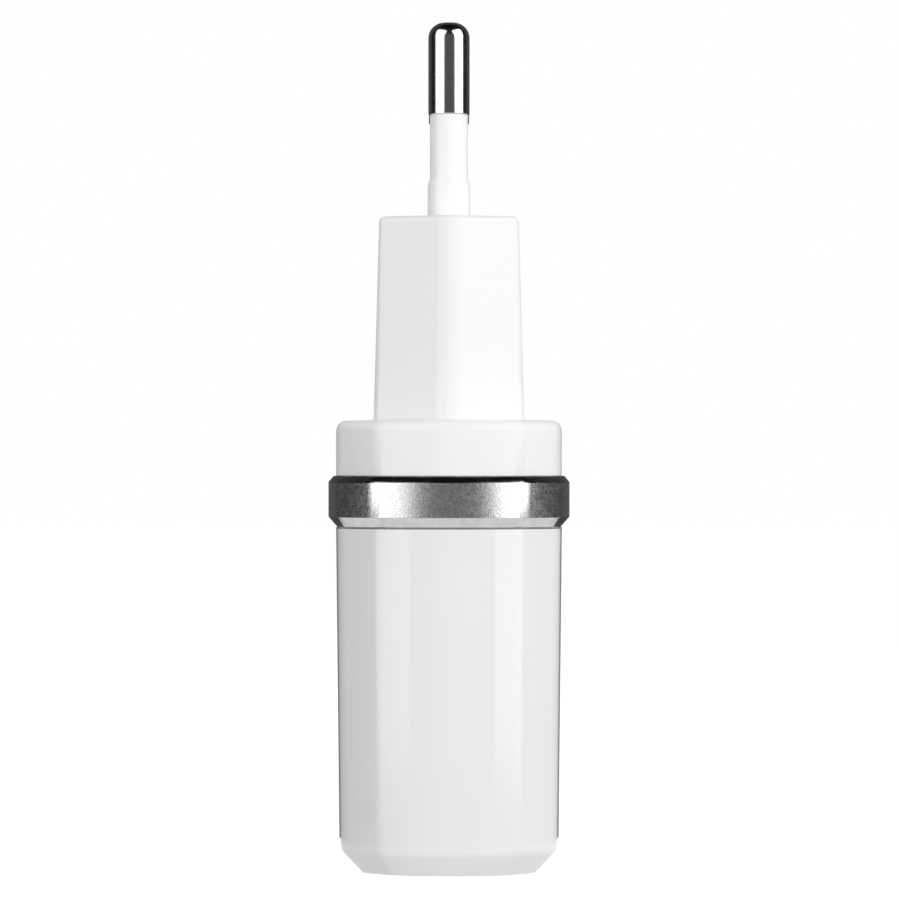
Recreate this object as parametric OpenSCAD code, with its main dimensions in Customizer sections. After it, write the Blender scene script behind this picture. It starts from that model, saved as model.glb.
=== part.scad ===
// Twin-port USB wall charger with a fixed two-pin European plug, modelled as its separate pieces.
// It stands on its port end. X runs across the wide faces, Y through the thickness, Z towards the pins.

/* [Casing] */
// Width of the casing across its wide faces
body_w = 42; // [41.5:0.1:42.5]
// Thickness of the casing between its wide faces
body_t = 22.2; // [22:0.1:22.6]
// Height of the rear housing, from the foot to the trim ring
body_h = 33.3; // [33:0.1:34]
// Height of the trim ring
ring_h = 5.1; // [4.7:0.1:5.3]
// How far the trim ring stands proud of the casing
ring_proud = 0.75; // [0.5:0.05:1]
// Height of the plug cover's collar above the trim ring
collar_h = 5.35; // [5.2:0.05:5.8]
// Thickness of the casing's walls
wall = 2; // [1.8:0.1:2]
// How far the draft brings the rear housing in at its foot
foot_draft = 0.35; // [0.2:0.05:0.4]
// Width of the bevel around the foot
bevel_in = 2.15; // [1.8:0.05:2.4]
// Height of the bevel around the foot
bevel_up = 2.25; // [2:0.05:2.8]

/* [Casing outline] */
// Radius of the rounded narrow sides
narrow_r = 14.5; // [14:0.1:14.8]
// Radius of the slightly bulged wide faces
wide_r = 300; // [250:10:400]
// Half the angle that a narrow side turns through before its soft edges
narrow_turn = 26; // [25:0.5:27]
// Radius of the soft edges beside the narrow sides
edge_r = 3.4; // [3.3:0.1:3.6]
// Angle at which each corner facet starts
facet_from = 46; // [45.6:0.2:46.8]
// Angle at which each corner facet ends
facet_to = 54; // [53.2:0.2:54.4]
// Radius of the slightly bulged corner facets
facet_r = 30; // [28:1:32]

/* [Plug] */
// Height of the plug body above the collar
stage_h = 19.75; // [19.4:0.05:19.8]
// Width of the plug body at its pin face
stage_w = 35.3; // [35:0.1:35.3]
// Thickness of the plug body at its pin face
stage_t = 13.5; // [13.4:0.1:13.7]
// Angle between the pointed ends' faces and the plug's long axis, as normals
end_angle = 33.9; // [33:0.1:35]
// Draft angle of the plug body's sides
stage_draft = 1.56; // [1:0.01:1.6]
// Distance between the pins at the pin face
pin_spread = 18.6; // [18:0.1:19.2]
// Distance between the pins at their tips
pin_spread_tip = 17.5; // [17:0.1:18]
// Diameter of the bare end of a pin
pin_d = 4.02; // [4:0.01:4.06]
// Length of a pin beyond the pin face
pin_l = 19; // [18.5:0.1:19.5]
// Length of the bare metal at the end of a pin
pin_bare_l = 9; // [8.5:0.1:9.5]
// Diameter of the insulating sleeve
sleeve_d = 3.7; // [3.6:0.02:3.7]
// Diameter of the sleeve's thicker foot
sleeve_foot_d = 4.15; // [4:0.05:4.3]
// Length of the sleeve's thicker foot
sleeve_foot_l = 3.7; // [3:0.1:4.5]

/* [USB ports] */
// Distance between the centres of the two ports
port_pitch = 16; // [15.8:0.1:16.4]
// Inside width of a port's metal shell
port_w = 12.5; // [12.4:0.05:12.6]
// Inside thickness of a port's metal shell
port_t = 5.12; // [5.06:0.02:5.2]
// Thickness of the shell's sheet metal
port_sheet = 0.3; // [0.25:0.05:0.35]
// Depth of a port's shell
port_depth = 14; // [13.8:0.1:14.2]
// How far the shell's mouth sits inside the foot
port_recess = 0.4; // [0.3:0.1:0.6]
// How far the contact tongue sits behind the shell's mouth
tongue_set = 1.9; // [1.85:0.05:2]
// Length of the contact tongue
tongue_l = 9; // [8.9:0.1:9.1]
// Thickness of the contact tongue
tongue_t = 1.84; // [1.84:0.02:1.9]

/* [Electronics] */
// Width of the main board
board_w = 34; // [33.6:0.1:34.2]
// Thickness of the main board
board_t = 1.2; // [1:0.1:1.2]
// Diameter of the input capacitors
input_cap_d = 8; // [7.6:0.1:8]
// Diameter of the output capacitors
output_cap_d = 6.3; // [6:0.1:6.3]
// Width of the transformer's ferrite core
core_w = 13; // [12.8:0.1:13]

/* [Hidden] */
$fn = 48;

gap = 0.05;                               // slack between casing pieces
collar_z = body_h + ring_h;
stage_z = collar_z + collar_h;
face_z = stage_z + stage_h;

// The arcs of the casing's outline, from a narrow side to a wide face. Each centre follows
// from the one before, and the last radius is the one that meets the wide face smoothly.
narrow_at = [body_w / 2 - narrow_r, 0];
wide_at = [0, body_t / 2 - wide_r];
edge_at = narrow_at + (narrow_r - edge_r) * [cos(narrow_turn), sin(narrow_turn)];
facet_at = edge_at + (edge_r - facet_r) * [cos(facet_from), sin(facet_from)];
facet_dir = [cos(facet_to), sin(facet_to)];
facet_end = facet_at + facet_r * facet_dir - wide_at;
corner_r = (facet_end * facet_end - wide_r ^ 2) / (2 * (facet_end * facet_dir - wide_r));
corner_at = facet_at + (facet_r - corner_r) * facet_dir;
corner_to = atan2(corner_at.y - wide_at.y, corner_at.x);

// The seat of the trim ring, and the lip that locates the cover in the housing
seat_in = 1;
lip_in = wall + 0.1;
lip_t = 0.9;
lip_z = body_h - 2.6;
seat_split_z = body_h + ring_h / 2;
rail_foot = bevel_up + 1.4;
rail_t = 1.2;
cavity_in = lip_in + lip_t;
ring_bevel_top = 0.6;
ring_bevel_foot = 1.05;
collar_round = 1;

// The plug body
stage_reach = stage_w / 2 * cos(end_angle);
stage_grow = stage_h * tan(stage_draft);
point_round = 2;
edge_round = 0.6;
stage_wall = 1.8;
face_t = 1.9;

// The pins, along their own axes, from the pin face
pin_tilt = atan((pin_spread - pin_spread_tip) / 2 / pin_l);
pin_core_r = 1.55;
pin_tip_round = 1.5;
flange_r = 2.6;
sleeve_flange_from = -2.7;
sleeve_flange_to = -2.1;
pin_flange_from = -3.9;
relief_in = 0.25;
relief_depth = 0.4;
terminal_r = 1.25;
terminal_from = -9;
terminal_to = -6.5;
retainer_t = 1.6;
retainer_z = face_z + pin_flange_from - 0.15 - retainer_t;

// The ports
shell_w = port_w + 2 * port_sheet;
shell_t = port_t + 2 * port_sheet;
shell_round = 0.9;
tongue_w = 11.1;
tongue_back_y = port_t / 2 - 0.72;
tongue_front_y = tongue_back_y - tongue_t;
block_z = port_recess + tongue_set + tongue_l;
groove_w = 1.4;
groove_y = tongue_front_y + 1.25;
contact_x = [-3.5, -1, 1, 3.5];
spring_t = 0.25;
spring_root = [0.55, block_z - 0.2];
spring_path = [
  [0.55, block_z - 0.2], [0.5, block_z - 3.7], [-0.35, block_z - 6.1],
  [-0.35, block_z - 6.7], [0.2, block_z - 7.7], [0.35, block_z - 8.1]
];
tail_z = block_z + 2.3;
tail_w = 0.6;
tail_t = 0.3;

// The board stands behind the ports, with its tall parts on the front face
board_front = -shell_t / 2;
board_back = board_front - board_t;
board_foot = 2.6;
board_top = body_h + 7.9;
lead_r = 0.3;
lead_out = 0.8;

// Places on the board, as X and Z
transformer_at = [-7.2, 28.5];
board_cap_at = [10.3, 26.4];
output_cap_at = [[-11.6, 18.3], [-5.2, 18.3]];
choke_at = [3.9, 35];
fuse_at = [14.2, 35.8];
safety_cap_at = [3.3, 27];
plug_cap_lead_z = 39.9;

board_cap_h = 10.6;
output_cap_h = 10.4;
plug_cap_h = 12;
plug_cap_z = stage_z + 1.2;
cap_pitch = 3.5;
output_cap_pitch = 2.5;
choke_d = 6;
choke_h = 7.5;
choke_pitch = 3.6;
fuse_d = 3;
fuse_l = 7;
fuse_lead_span = 9;
fuse_y = board_front + fuse_d / 2 + 0.3;
safety_cap_d = 7;
safety_cap_t = 3;
safety_cap_pitch = 5;

// The transformer, about its own centre
core_h = 12.4;
core_t = 6;
core_back_t = 1.7;
centre_leg_w = 3;
bobbin_wall = 0.6;
bobbin_t = 10;
bobbin_h = 8.9;
bobbin_y = board_front + 5.4;
pin_rail_z = 5.3;
transformer_pin_x = [-4.5, -1.5, 1.5, 4.5];

contact_strip_w = 3;
contact_strip_t = 0.4;
contact_strip_x = pin_spread / 2 - terminal_from * tan(pin_tilt);
contact_strip_foot = board_top - 4;

// Pairs of X and Z for every round lead that passes through the board
round_leads = concat(
  [for (s = [-1, 1]) [board_cap_at.x + s * cap_pitch / 2, board_cap_at.y]],
  [for (c = output_cap_at) for (s = [-1, 1]) [c.x + s * output_cap_pitch / 2, c.y]],
  [for (s = [-1, 1]) [choke_at.x + s * choke_pitch / 2, choke_at.y]],
  [for (s = [-1, 1]) [fuse_at.x, fuse_at.y + s * fuse_lead_span / 2]],
  [for (s = [-1, 1]) [safety_cap_at.x, safety_cap_at.y + s * safety_cap_pitch / 2]],
  [for (s = [-1, 1]) [s * cap_pitch / 2, plug_cap_lead_z]],
  [for (x = transformer_pin_x) for (s = [-1, 1]) [transformer_at.x + x, transformer_at.y + s * pin_rail_z]]
);

// An arc's points, from one angle up to but not including the other
function arc(at, r, from, to, n) =
  [for (i = [0 : n - 1]) let (t = from + (to - from) * i / n) at + r * [cos(t), sin(t)]];

// A quarter of the casing's outline, from a narrow side to a wide face, brought in by an inset
function barrel_quarter(inset) = concat(
  arc(narrow_at, narrow_r - inset, 0, narrow_turn, 5),
  arc(edge_at, edge_r - inset, narrow_turn, facet_from, 3),
  arc(facet_at, facet_r - inset, facet_from, facet_to, 3),
  arc(corner_at, corner_r - inset, facet_to, corner_to, 4),
  arc(wide_at, wide_r - inset, corner_to, 90, 3),
  [wide_at + [0, wide_r - inset]]
);

// The whole outline: the quarter and its three mirror images
function barrel(inset) =
  let (q = barrel_quarter(inset), n = len(q) - 1)
  concat(
    [for (i = [0 : n - 1]) q[i]],
    [for (i = [n : -1 : 1]) [-q[i].x, q[i].y]],
    [for (i = [0 : n - 1]) -q[i]],
    [for (i = [n : -1 : 1]) [q[i].x, -q[i].y]]
  );

function unit(v) = v / norm(v);

// The points of an arc that rounds a corner between two straight arms
function fillet(before, corner, after, r, n) =
  let (
    arm_in = unit(before - corner),
    arm_out = unit(after - corner),
    half = acos(arm_in * arm_out) / 2,
    centre = corner + unit(arm_in + arm_out) * r / sin(half),
    first = corner + arm_in * r / tan(half) - centre,
    last = corner + arm_out * r / tan(half) - centre
  )
  [for (i = [0 : n]) centre + r * unit(first * (n - i) + last * i)];

// How much wider the drafted plug body is on each side at a height than at its pin face
function stage_grow_at(z) = stage_grow * (face_z - z) / stage_h;

// The plug body's outline: a long hexagon with pointed ends, grown outwards
function stage_outline(grow, point_r, side_r) =
  let (
    half_t = stage_t / 2 + grow,
    reach = stage_reach + grow,
    point = [reach / cos(end_angle), 0],
    side = [(reach - half_t * sin(end_angle)) / cos(end_angle), half_t],
    c = [
      point, side, [-side.x, side.y],
      -point, -side, [side.x, -side.y]
    ],
    r = [point_r, side_r, side_r, point_r, side_r, side_r]
  )
  [for (i = [0 : 5]) each fillet(c[(i + 5) % 6], c[i], c[(i + 1) % 6], r[i], 4)];

// A closed solid through outlines of equal count, one at each height
module loft(outlines, heights) {
  n = len(outlines[0]);
  rows = len(outlines);
  corners = [for (k = [0 : rows - 1]) for (p = outlines[k]) [p.x, p.y, heights[k]]];
  sides = [
    for (k = [0 : rows - 2]) for (i = [0 : n - 1])
      let (j = (i + 1) % n) [k * n + i, (k + 1) * n + i, (k + 1) * n + j, k * n + j]
  ];
  foot = [[for (i = [0 : n - 1]) i]];
  head = [[for (i = [0 : n - 1]) rows * n - 1 - i]];
  polyhedron(corners, concat(sides, foot, head));
}

// The casing's outline lofted through a side profile of [inset, height] pairs
module barrel_loft(profile) {
  loft([for (p = profile) barrel(p[0])], [for (p = profile) p[1]]);
}

// A rectangle with round corners, centred
module rounded_rect(w, t, r) {
  square([w - 2 * r, t], center = true);
  square([w, t - 2 * r], center = true);
  for (x = [-1, 1]) for (y = [-1, 1])
    translate([x * (w / 2 - r), y * (t / 2 - r)]) circle(r = r);
}

// A box from its lowest to its highest corner
module box(low, high) {
  translate(low) cube(high - low);
}

// Moves its children to a pin's foot, with +Z along the pin; side is -1 or 1
module at_pin(side) {
  translate([side * pin_spread / 2, 0, face_z]) rotate([0, -side * pin_tilt, 0]) children();
}

// A wire that leaves a part along -Y at a place on the board and passes through it
module board_lead(place, from_y) {
  length = from_y - board_back + lead_out;
  translate([place.x, from_y, place.y]) rotate([90, 0, 0]) cylinder(r = lead_r, h = length);
}

// A flat profile in Y and Z, given width along X and centred on X
module across(w) {
  translate([-w / 2, 0, 0]) rotate([90, 0, 90]) linear_extrude(w) children();
}

module rear_housing() {
  wall_in = foot_draft * bevel_up / body_h;
  bevel_foot = [foot_draft + bevel_in, 0];
  bevel_head = [foot_draft - wall_in, bevel_up];
  foot_round = fillet([bevel_foot.x + 5, 0], bevel_foot, bevel_head, 0.5, 2);
  head_round = fillet(bevel_foot, bevel_head, [0, body_h], 2.5, 4);
  floor_in = wall + foot_draft;
  color("whitesmoke") difference() {
    union() {
      difference() {
        union() {
          barrel_loft(concat([[foot_round[0].x, 0]], [for (i = [1 : 2]) foot_round[i]], head_round, [[0, body_h]]));
          barrel_loft([[seat_in, body_h - 1], [seat_in, seat_split_z - gap]]);
        }
        barrel_loft([[floor_in, wall], [wall, body_h], [wall, collar_z]]);
      }
      // Two pairs of rails that hold the edges of the board
      intersection() {
        barrel_loft([[seat_in, rail_foot], [seat_in, lip_z - 0.4]]);
        for (x = [-1, 1]) for (y = [board_front + gap, board_back - gap - rail_t])
          translate([x * (board_w / 2 + 1.4) - 2.2, y, 0]) cube([4.4, rail_t, lip_z]);
      }
    }
    for (x = [-1, 1]) translate([x * port_pitch / 2, 0, -1])
      linear_extrude(wall + 2) rounded_rect(shell_w + 0.3, shell_t + 0.3, shell_round + 0.15);
  }
}

// The space inside the plug body from one height to another, at a depth from its sides
module stage_cavity(from_z, to_z, depth) {
  loft([for (z = [from_z, to_z]) stage_outline(stage_grow_at(z) - depth, 0.8, 0.4)], [from_z, to_z]);
}

module plug_cover() {
  collar_profile = fillet([0, collar_z], [0, stage_z], [5, stage_z], collar_round, 4);
  top_round = [for (a = [0 : 22.5 : 90]) [edge_round * (cos(a) - 1), face_z - edge_round * (1 - sin(a))]];
  grow_at = stage_grow * edge_round / stage_h;
  color("whitesmoke") difference() {
    union() {
      barrel_loft([[seat_in, seat_split_z], [seat_in, collar_z + 1]]);
      barrel_loft([[lip_in, lip_z], [lip_in, collar_z + 1]]);
      barrel_loft(concat([[0, collar_z]], collar_profile));
      loft(
        concat(
          [stage_outline(stage_grow + 0.02, point_round, edge_round)],
          [for (p = top_round) stage_outline(grow_at + p[0], point_round, edge_round)]
        ),
        concat([stage_z - 0.6], [for (p = top_round) p[1]])
      );
    }
    barrel_loft([[cavity_in, lip_z - 1], [cavity_in, stage_z - wall]]);
    stage_cavity(stage_z - wall - 1, face_z - face_t, stage_wall);
    // The pins' bores, each with a shallow relief at the pin face
    for (side = [-1, 1]) at_pin(side) {
      translate([0, 0, sleeve_flange_to - 1]) cylinder(r = sleeve_foot_d / 2 + 0.02, h = 8);
      translate([0, 0, -relief_depth]) cylinder(r = sleeve_foot_d / 2 + relief_in, h = 8);
    }
  }
}

module trim_ring() {
  band = -ring_proud;
  foot_in = band + ring_bevel_foot * 0.9;
  top = collar_z - gap;
  foot = body_h + gap;
  color("dimgray") difference() {
    barrel_loft([
      [foot_in, foot],
      [band, foot + ring_bevel_foot],
      [band, top - ring_bevel_top],
      [band + ring_bevel_top, top]
    ]);
    barrel_loft([[seat_in - gap, foot - 1], [seat_in - gap, top + 1]]);
  }
}

module pin(side) {
  tip = fillet([pin_d / 2, 0], [pin_d / 2, pin_l], [0, pin_l], pin_tip_round, 8);
  bare_from = pin_l - pin_bare_l;
  color("silver") at_pin(side) rotate_extrude() polygon(concat(
    [
      [0, terminal_from], [terminal_r, terminal_from], [terminal_r, terminal_to],
      [pin_core_r, terminal_to], [pin_core_r, pin_flange_from], [flange_r, pin_flange_from],
      [flange_r, sleeve_flange_from], [pin_core_r, sleeve_flange_from],
      [pin_core_r, bare_from], [pin_d / 2, bare_from]
    ],
    tip,
    [[0, pin_l]]
  ));
}

module pin_sleeve(side) {
  foot_r = sleeve_foot_d / 2;
  cone = 0.5;
  color("white") at_pin(side) rotate_extrude() polygon([
    [pin_core_r, sleeve_flange_from], [flange_r, sleeve_flange_from],
    [flange_r, sleeve_flange_to], [foot_r, sleeve_flange_to],
    [foot_r, sleeve_foot_l - cone], [sleeve_d / 2, sleeve_foot_l],
    [sleeve_d / 2, pin_l - pin_bare_l], [pin_core_r, pin_l - pin_bare_l]
  ]);
}

// The plate behind the pins' flanges, pressed into the plug body
module pin_retainer() {
  color("gainsboro") difference() {
    stage_cavity(retainer_z, retainer_z + retainer_t, stage_wall + gap);
    for (side = [-1, 1]) at_pin(side)
      translate([0, 0, terminal_from]) cylinder(r = pin_core_r, h = 8);
  }
}

// A leaf from the board's top edge up to the side of a pin's terminal
module contact_strip(side) {
  y_low = board_front;
  y_high = -terminal_r - contact_strip_t;
  low_bend = board_top + 3;
  high_bend = board_top + 8;
  head = face_z + terminal_to - 0.3;
  t = contact_strip_t;
  color("goldenrod") translate([side * contact_strip_x, 0, 0]) across(contact_strip_w) polygon([
    [y_low, contact_strip_foot], [y_low + t, contact_strip_foot],
    [y_low + t, low_bend], [y_high + t, high_bend], [y_high + t, head],
    [y_high, head], [y_high, high_bend], [y_low, low_bend]
  ]);
}

module main_board() {
  color("darkgreen") difference() {
    box([-board_w / 2, board_back, board_foot], [board_w / 2, board_front, board_top]);
    for (place = round_leads) board_lead(place, board_front + 1);
    for (side = [-1, 1]) {
      usb_tails(side);
      shell_tabs(side);
    }
    // The slot that keeps the mains side away from the low-voltage side
    box([1, board_back - 1, 21.5], [2, board_front + 1, 25.5]);
  }
}

module insulating_sheet() {
  color("ivory") box([-12.8, -8.3, wall], [12.8, -8.1, lip_z - 0.6]);
}

// The solder tabs of a port's shell, two on each side
module shell_tabs(side) {
  for (x = [-1, 1]) for (z = [5, 11])
    translate([side * port_pitch / 2 + x * (shell_w / 2 - port_sheet / 2), 0, z])
      box([-port_sheet / 2, board_back - lead_out, -1], [port_sheet / 2, 0, 1]);
}

module usb_shell(side) {
  slot = 0.35;
  finger_w = 2.4;
  finger_from = 2.2;
  finger_to = 7.4;
  mouth = port_recess;
  color("silver") difference() {
    union() {
      translate([side * port_pitch / 2, 0, mouth]) {
        linear_extrude(port_depth) difference() {
          rounded_rect(shell_w, shell_t, shell_round);
          rounded_rect(port_w, port_t, shell_round - port_sheet);
        }
        // The back plate leaves the tails' side open
        translate([0, port_t / 4, port_depth - port_sheet / 2])
          cube([port_w, port_t / 2, port_sheet], center = true);
        // Ridges on the retaining fingers
        for (x = [-1, 1]) for (y = [-1, 1])
          translate([x * 3, y * port_t / 2, finger_from + 0.9]) rotate([0, 90, 0])
            cylinder(r = port_sheet - 0.02, h = finger_w, center = true);
      }
      shell_tabs(side);
    }
    // Slots that free the retaining fingers
    for (x = [-1, 1]) for (y = [-1, 1]) translate([side * port_pitch / 2 + x * 3, y * shell_t / 2, mouth]) {
      for (s = [-1, 1])
        translate([s * (finger_w + slot) / 2, 0, (finger_from + finger_to) / 2])
          cube([slot, 1.6, finger_to - finger_from], center = true);
      translate([0, 0, finger_from]) cube([finger_w + 2 * slot, 1.6, slot], center = true);
    }
    // The open stretch that lets the tails down to the board
    translate([side * port_pitch / 2, -shell_t / 2, mouth + port_depth])
      cube([tongue_w - 1, 2, 5], center = true);
  }
}

module usb_tongue(side) {
  color("white") translate([side * port_pitch / 2, 0, 0]) difference() {
    union() {
      box([-tongue_w / 2, tongue_front_y, block_z - tongue_l], [tongue_w / 2, tongue_back_y, block_z + 1]);
      translate([0, 0, block_z])
        linear_extrude(port_depth + port_recess - port_sheet - block_z)
          rounded_rect(port_w, port_t, shell_round - port_sheet);
    }
    for (x = contact_x)
      box([x - groove_w / 2, tongue_front_y - 1, block_z - tongue_l + 0.6], [x + groove_w / 2, groove_y, block_z]);
    translate([-side * port_pitch / 2, 0, 0]) usb_tails(side);
  }
}

// Four leaf contacts, each a strip with a raised bump, held at its root end
module usb_springs(side) {
  half = spring_t / 2;
  count = len(spring_path) - 1;
  color("gold") for (x = contact_x) translate([side * port_pitch / 2 + x, 0, 0]) {
    across(1) polygon(concat(
      [for (p = spring_path) [p.x + half, p.y]],
      [for (i = [count : -1 : 0]) [spring_path[i].x - half, spring_path[i].y]]
    ));
    translate([-0.5, spring_root.x, spring_root.y]) rotate([0, 90, 0]) cylinder(r = half, h = 1);
  }
}

// The fixed ends of the contacts, which run through the block and down to the board
module usb_tails(side) {
  y_high = spring_root.x + spring_t / 2;
  color("gold") for (x = contact_x) translate([side * port_pitch / 2 + x, 0, 0]) across(tail_w) polygon([
    [y_high - tail_t, block_z + 0.1], [y_high, block_z + 0.1], [y_high, tail_z],
    [board_back - lead_out, tail_z], [board_back - lead_out, tail_z - tail_t],
    [y_high - tail_t, tail_z - tail_t]
  ]);
}

// One half of the ferrite core: an E with its three legs pointing along +Z or -Z
module core_half(up) {
  outer_leg_in = core_w / 2 - core_back_t;
  color("dimgray") translate([transformer_at.x, bobbin_y, transformer_at.y]) scale([1, 1, up])
    rotate([90, 0, 0]) linear_extrude(core_t, center = true) polygon([
      [-core_w / 2, 0], [-core_w / 2, core_h / 2], [core_w / 2, core_h / 2], [core_w / 2, 0],
      [outer_leg_in, 0], [outer_leg_in, core_h / 2 - core_back_t],
      [centre_leg_w / 2, core_h / 2 - core_back_t], [centre_leg_w / 2, 0],
      [-centre_leg_w / 2, 0], [-centre_leg_w / 2, core_h / 2 - core_back_t],
      [-outer_leg_in, core_h / 2 - core_back_t], [-outer_leg_in, 0]
    ]);
}

module transformer_bobbin() {
  tube_w = centre_leg_w + 2 * bobbin_wall;
  tube_t = core_t + 2 * bobbin_wall;
  flange_w = core_w - 2 * core_back_t - 0.2;
  rail_t = bobbin_y - core_t / 2 - board_front;
  color("black") translate([transformer_at.x, bobbin_y, transformer_at.y]) difference() {
    union() {
      cube([tube_w, tube_t, bobbin_h], center = true);
      for (z = [-1, 1]) {
        translate([0, 0, z * (bobbin_h - bobbin_wall) / 2])
          cube([flange_w, bobbin_t, bobbin_wall], center = true);
        translate([0, -(core_t + rail_t) / 2, z * (pin_rail_z + 0.05)])
          cube([core_w - 1.6, rail_t, 1.8], center = true);
      }
    }
    cube([centre_leg_w, core_t, bobbin_h + 1], center = true);
    for (x = transformer_pin_x) for (z = [-1, 1]) translate([x, -core_t / 2 - 0.6, z * pin_rail_z])
      rotate([90, 0, 0]) cylinder(r = lead_r, h = 4);
  }
}

module transformer_winding() {
  inner_w = centre_leg_w + 2 * bobbin_wall;
  inner_t = core_t + 2 * bobbin_wall;
  color("gold") translate([transformer_at.x, bobbin_y, transformer_at.y])
    linear_extrude(bobbin_h - 2 * bobbin_wall, center = true) difference() {
      rounded_rect(core_w - 2 * core_back_t - 0.6, bobbin_t - 0.6, 1.2);
      square([inner_w, inner_t], center = true);
    }
}

module transformer_pins() {
  color("silver") for (x = transformer_pin_x) for (s = [-1, 1])
    board_lead([transformer_at.x + x, transformer_at.y + s * pin_rail_z], bobbin_y - core_t / 2 - 0.6);
}

// A can capacitor's can about its own axis: crimp groove near the foot, rounded rims, vented top
module can(d, h) {
  rim = 0.4;
  groove = 0.35;
  groove_z = 1.6;
  difference() {
    rotate_extrude() polygon([
      [0, 0], [d / 2 - rim, 0], [d / 2, rim], [d / 2, groove_z - 0.5], [d / 2 - groove, groove_z],
      [d / 2, groove_z + 0.5], [d / 2, h - rim], [d / 2 - rim, h], [0, h]
    ]);
    for (a = [0, 90]) rotate(a) translate([0, 0, h]) cube([d * 0.6, 0.25, 0.3], center = true);
  }
}

// A can capacitor that stands on the board at a place
module standing_can(place, d, h, pitch) {
  seat = board_front;
  translate([place.x, seat, place.y]) rotate([-90, 0, 0]) can(d, h);
  for (s = [-1, 1]) board_lead([place.x + s * pitch / 2, place.y], seat + 0.1);
}

module board_capacitor() {
  color("black") standing_can(board_cap_at, input_cap_d, board_cap_h, cap_pitch);
}

module output_capacitor(index) {
  color("midnightblue") standing_can(output_cap_at[index], output_cap_d, output_cap_h, output_cap_pitch);
}

// The capacitor that lies along Z inside the plug body, with leads bent to the board
module plug_capacitor() {
  color("black") {
    translate([0, 0, plug_cap_z]) can(input_cap_d, plug_cap_h);
    for (s = [-1, 1]) {
      translate([s * cap_pitch / 2, 0, plug_cap_lead_z]) {
        cylinder(r = lead_r, h = plug_cap_z - plug_cap_lead_z + 0.1);
        sphere(r = lead_r);
      }
      board_lead([s * cap_pitch / 2, plug_cap_lead_z], 0);
    }
  }
}

// A ceramic rod between two end caps, raised above the board on bent leads
module fusible_resistor() {
  cap_l = 1.3;
  color("olivedrab") translate([fuse_at.x, fuse_y, fuse_at.y]) {
    cylinder(d = fuse_d - 0.5, h = fuse_l, center = true);
    for (z = [-1, 1]) translate([0, 0, z * (fuse_l - cap_l) / 2])
      cylinder(d = fuse_d, h = cap_l, center = true);
    cylinder(r = lead_r, h = fuse_lead_span, center = true);
    for (z = [-1, 1]) translate([0, 0, z * fuse_lead_span / 2]) sphere(r = lead_r);
  }
  color("silver") for (s = [-1, 1]) board_lead([fuse_at.x, fuse_at.y + s * fuse_lead_span / 2], fuse_y);
}

// A drum core with its wire between two flanges
module input_choke() {
  flange_h = 1.2;
  color("saddlebrown") {
    translate([choke_at.x, board_front, choke_at.y]) rotate([-90, 0, 0]) {
      cylinder(d = choke_d - 0.8, h = choke_h);
      cylinder(d = choke_d, h = flange_h);
      translate([0, 0, choke_h - flange_h]) cylinder(d = choke_d, h = flange_h);
    }
    for (s = [-1, 1]) board_lead([choke_at.x + s * choke_pitch / 2, choke_at.y], board_front + 0.1);
  }
}

// A coated disc that stands on its two leads
module safety_capacitor() {
  centre_y = board_front + safety_cap_d / 2 + 1;
  edge = 0.7;
  r = safety_cap_d / 2;
  color("steelblue") translate([safety_cap_at.x, centre_y, safety_cap_at.y]) rotate([0, 90, 0])
    rotate_extrude() polygon([
      [0, -safety_cap_t / 2], [r - edge, -safety_cap_t / 2], [r, -safety_cap_t / 2 + edge],
      [r, safety_cap_t / 2 - edge], [r - edge, safety_cap_t / 2], [0, safety_cap_t / 2]
    ]);
  color("silver") for (s = [-1, 1])
    board_lead([safety_cap_at.x, safety_cap_at.y + s * safety_cap_pitch / 2], centre_y - 2);
}

// A moulded package on the back face, with gull-wing leads along its sides.
// place is its centre as X and Z; size is its X, Y and Z; leads sit on the X sides.
module chip(place, size, leads, pitch, lead_w) {
  stand_off = 0.1;
  translate([place.x, board_back - stand_off - size.y / 2, place.y]) cube(size, center = true);
  for (x = [-1, 1]) for (i = [0 : leads - 1])
    translate([place.x, board_back, place.y + (i - (leads - 1) / 2) * pitch]) {
      translate([x * (size.x / 2 + 0.3), -size.y / 2, 0])
        cube([0.8, 0.2, lead_w], center = true);
      translate([x * (size.x / 2 + 0.6), -size.y / 4 - 0.05, 0])
        cube([0.2, size.y / 2 + 0.1, lead_w], center = true);
      translate([x * (size.x / 2 + 0.8), -0.1, 0]) cube([0.6, 0.2, lead_w], center = true);
    }
}

module bridge_rectifier() {
  color("black") chip([10.5, 34.6], [3.9, 2, 4.7], 2, 2.5, 0.7);
}

module switching_controller() {
  color("black") chip([7, 21.8], [3.9, 1.4, 4.9], 4, 1.27, 0.4);
}

module output_rectifier() {
  color("black") chip([-8.6, 15.9], [5.8, 2.2, 3], 1, 1, 2.6);
}

module clamp_diode() {
  color("black") chip([-0.4, 31], [3.9, 2, 2.5], 1, 1, 1.5);
}

module port_controller() {
  color("black") chip([0, 8], [1.6, 1, 2.9], 3, 0.95, 0.35);
}

// Small rectangular parts soldered to the back face, one at each X and Z
module chips(places, size) {
  for (p = places) translate([p.x, board_back - size.y / 2, p.y]) cube(size, center = true);
}

module chip_resistors() {
  color("black") {
    chips([for (i = [0 : 3]) [14.6, 18 + 2.2 * i]], [3.2, 0.6, 1.6]);
    chips([for (i = [0 : 1]) [4, 15.4 + 1.9 * i]], [2, 0.5, 1.25]);
    chips([[-3.6, 9], [3.6, 9]], [2, 0.5, 1.25]);
  }
}

module chip_capacitors() {
  color("tan") {
    chips([[9.6, 16.1], [9.6, 18.2], [-1.6, 26.2]], [3.2, 1.2, 1.6]);
    chips([[0, 14.4], [0, 16.4]], [2, 0.9, 1.25]);
  }
}

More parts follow.
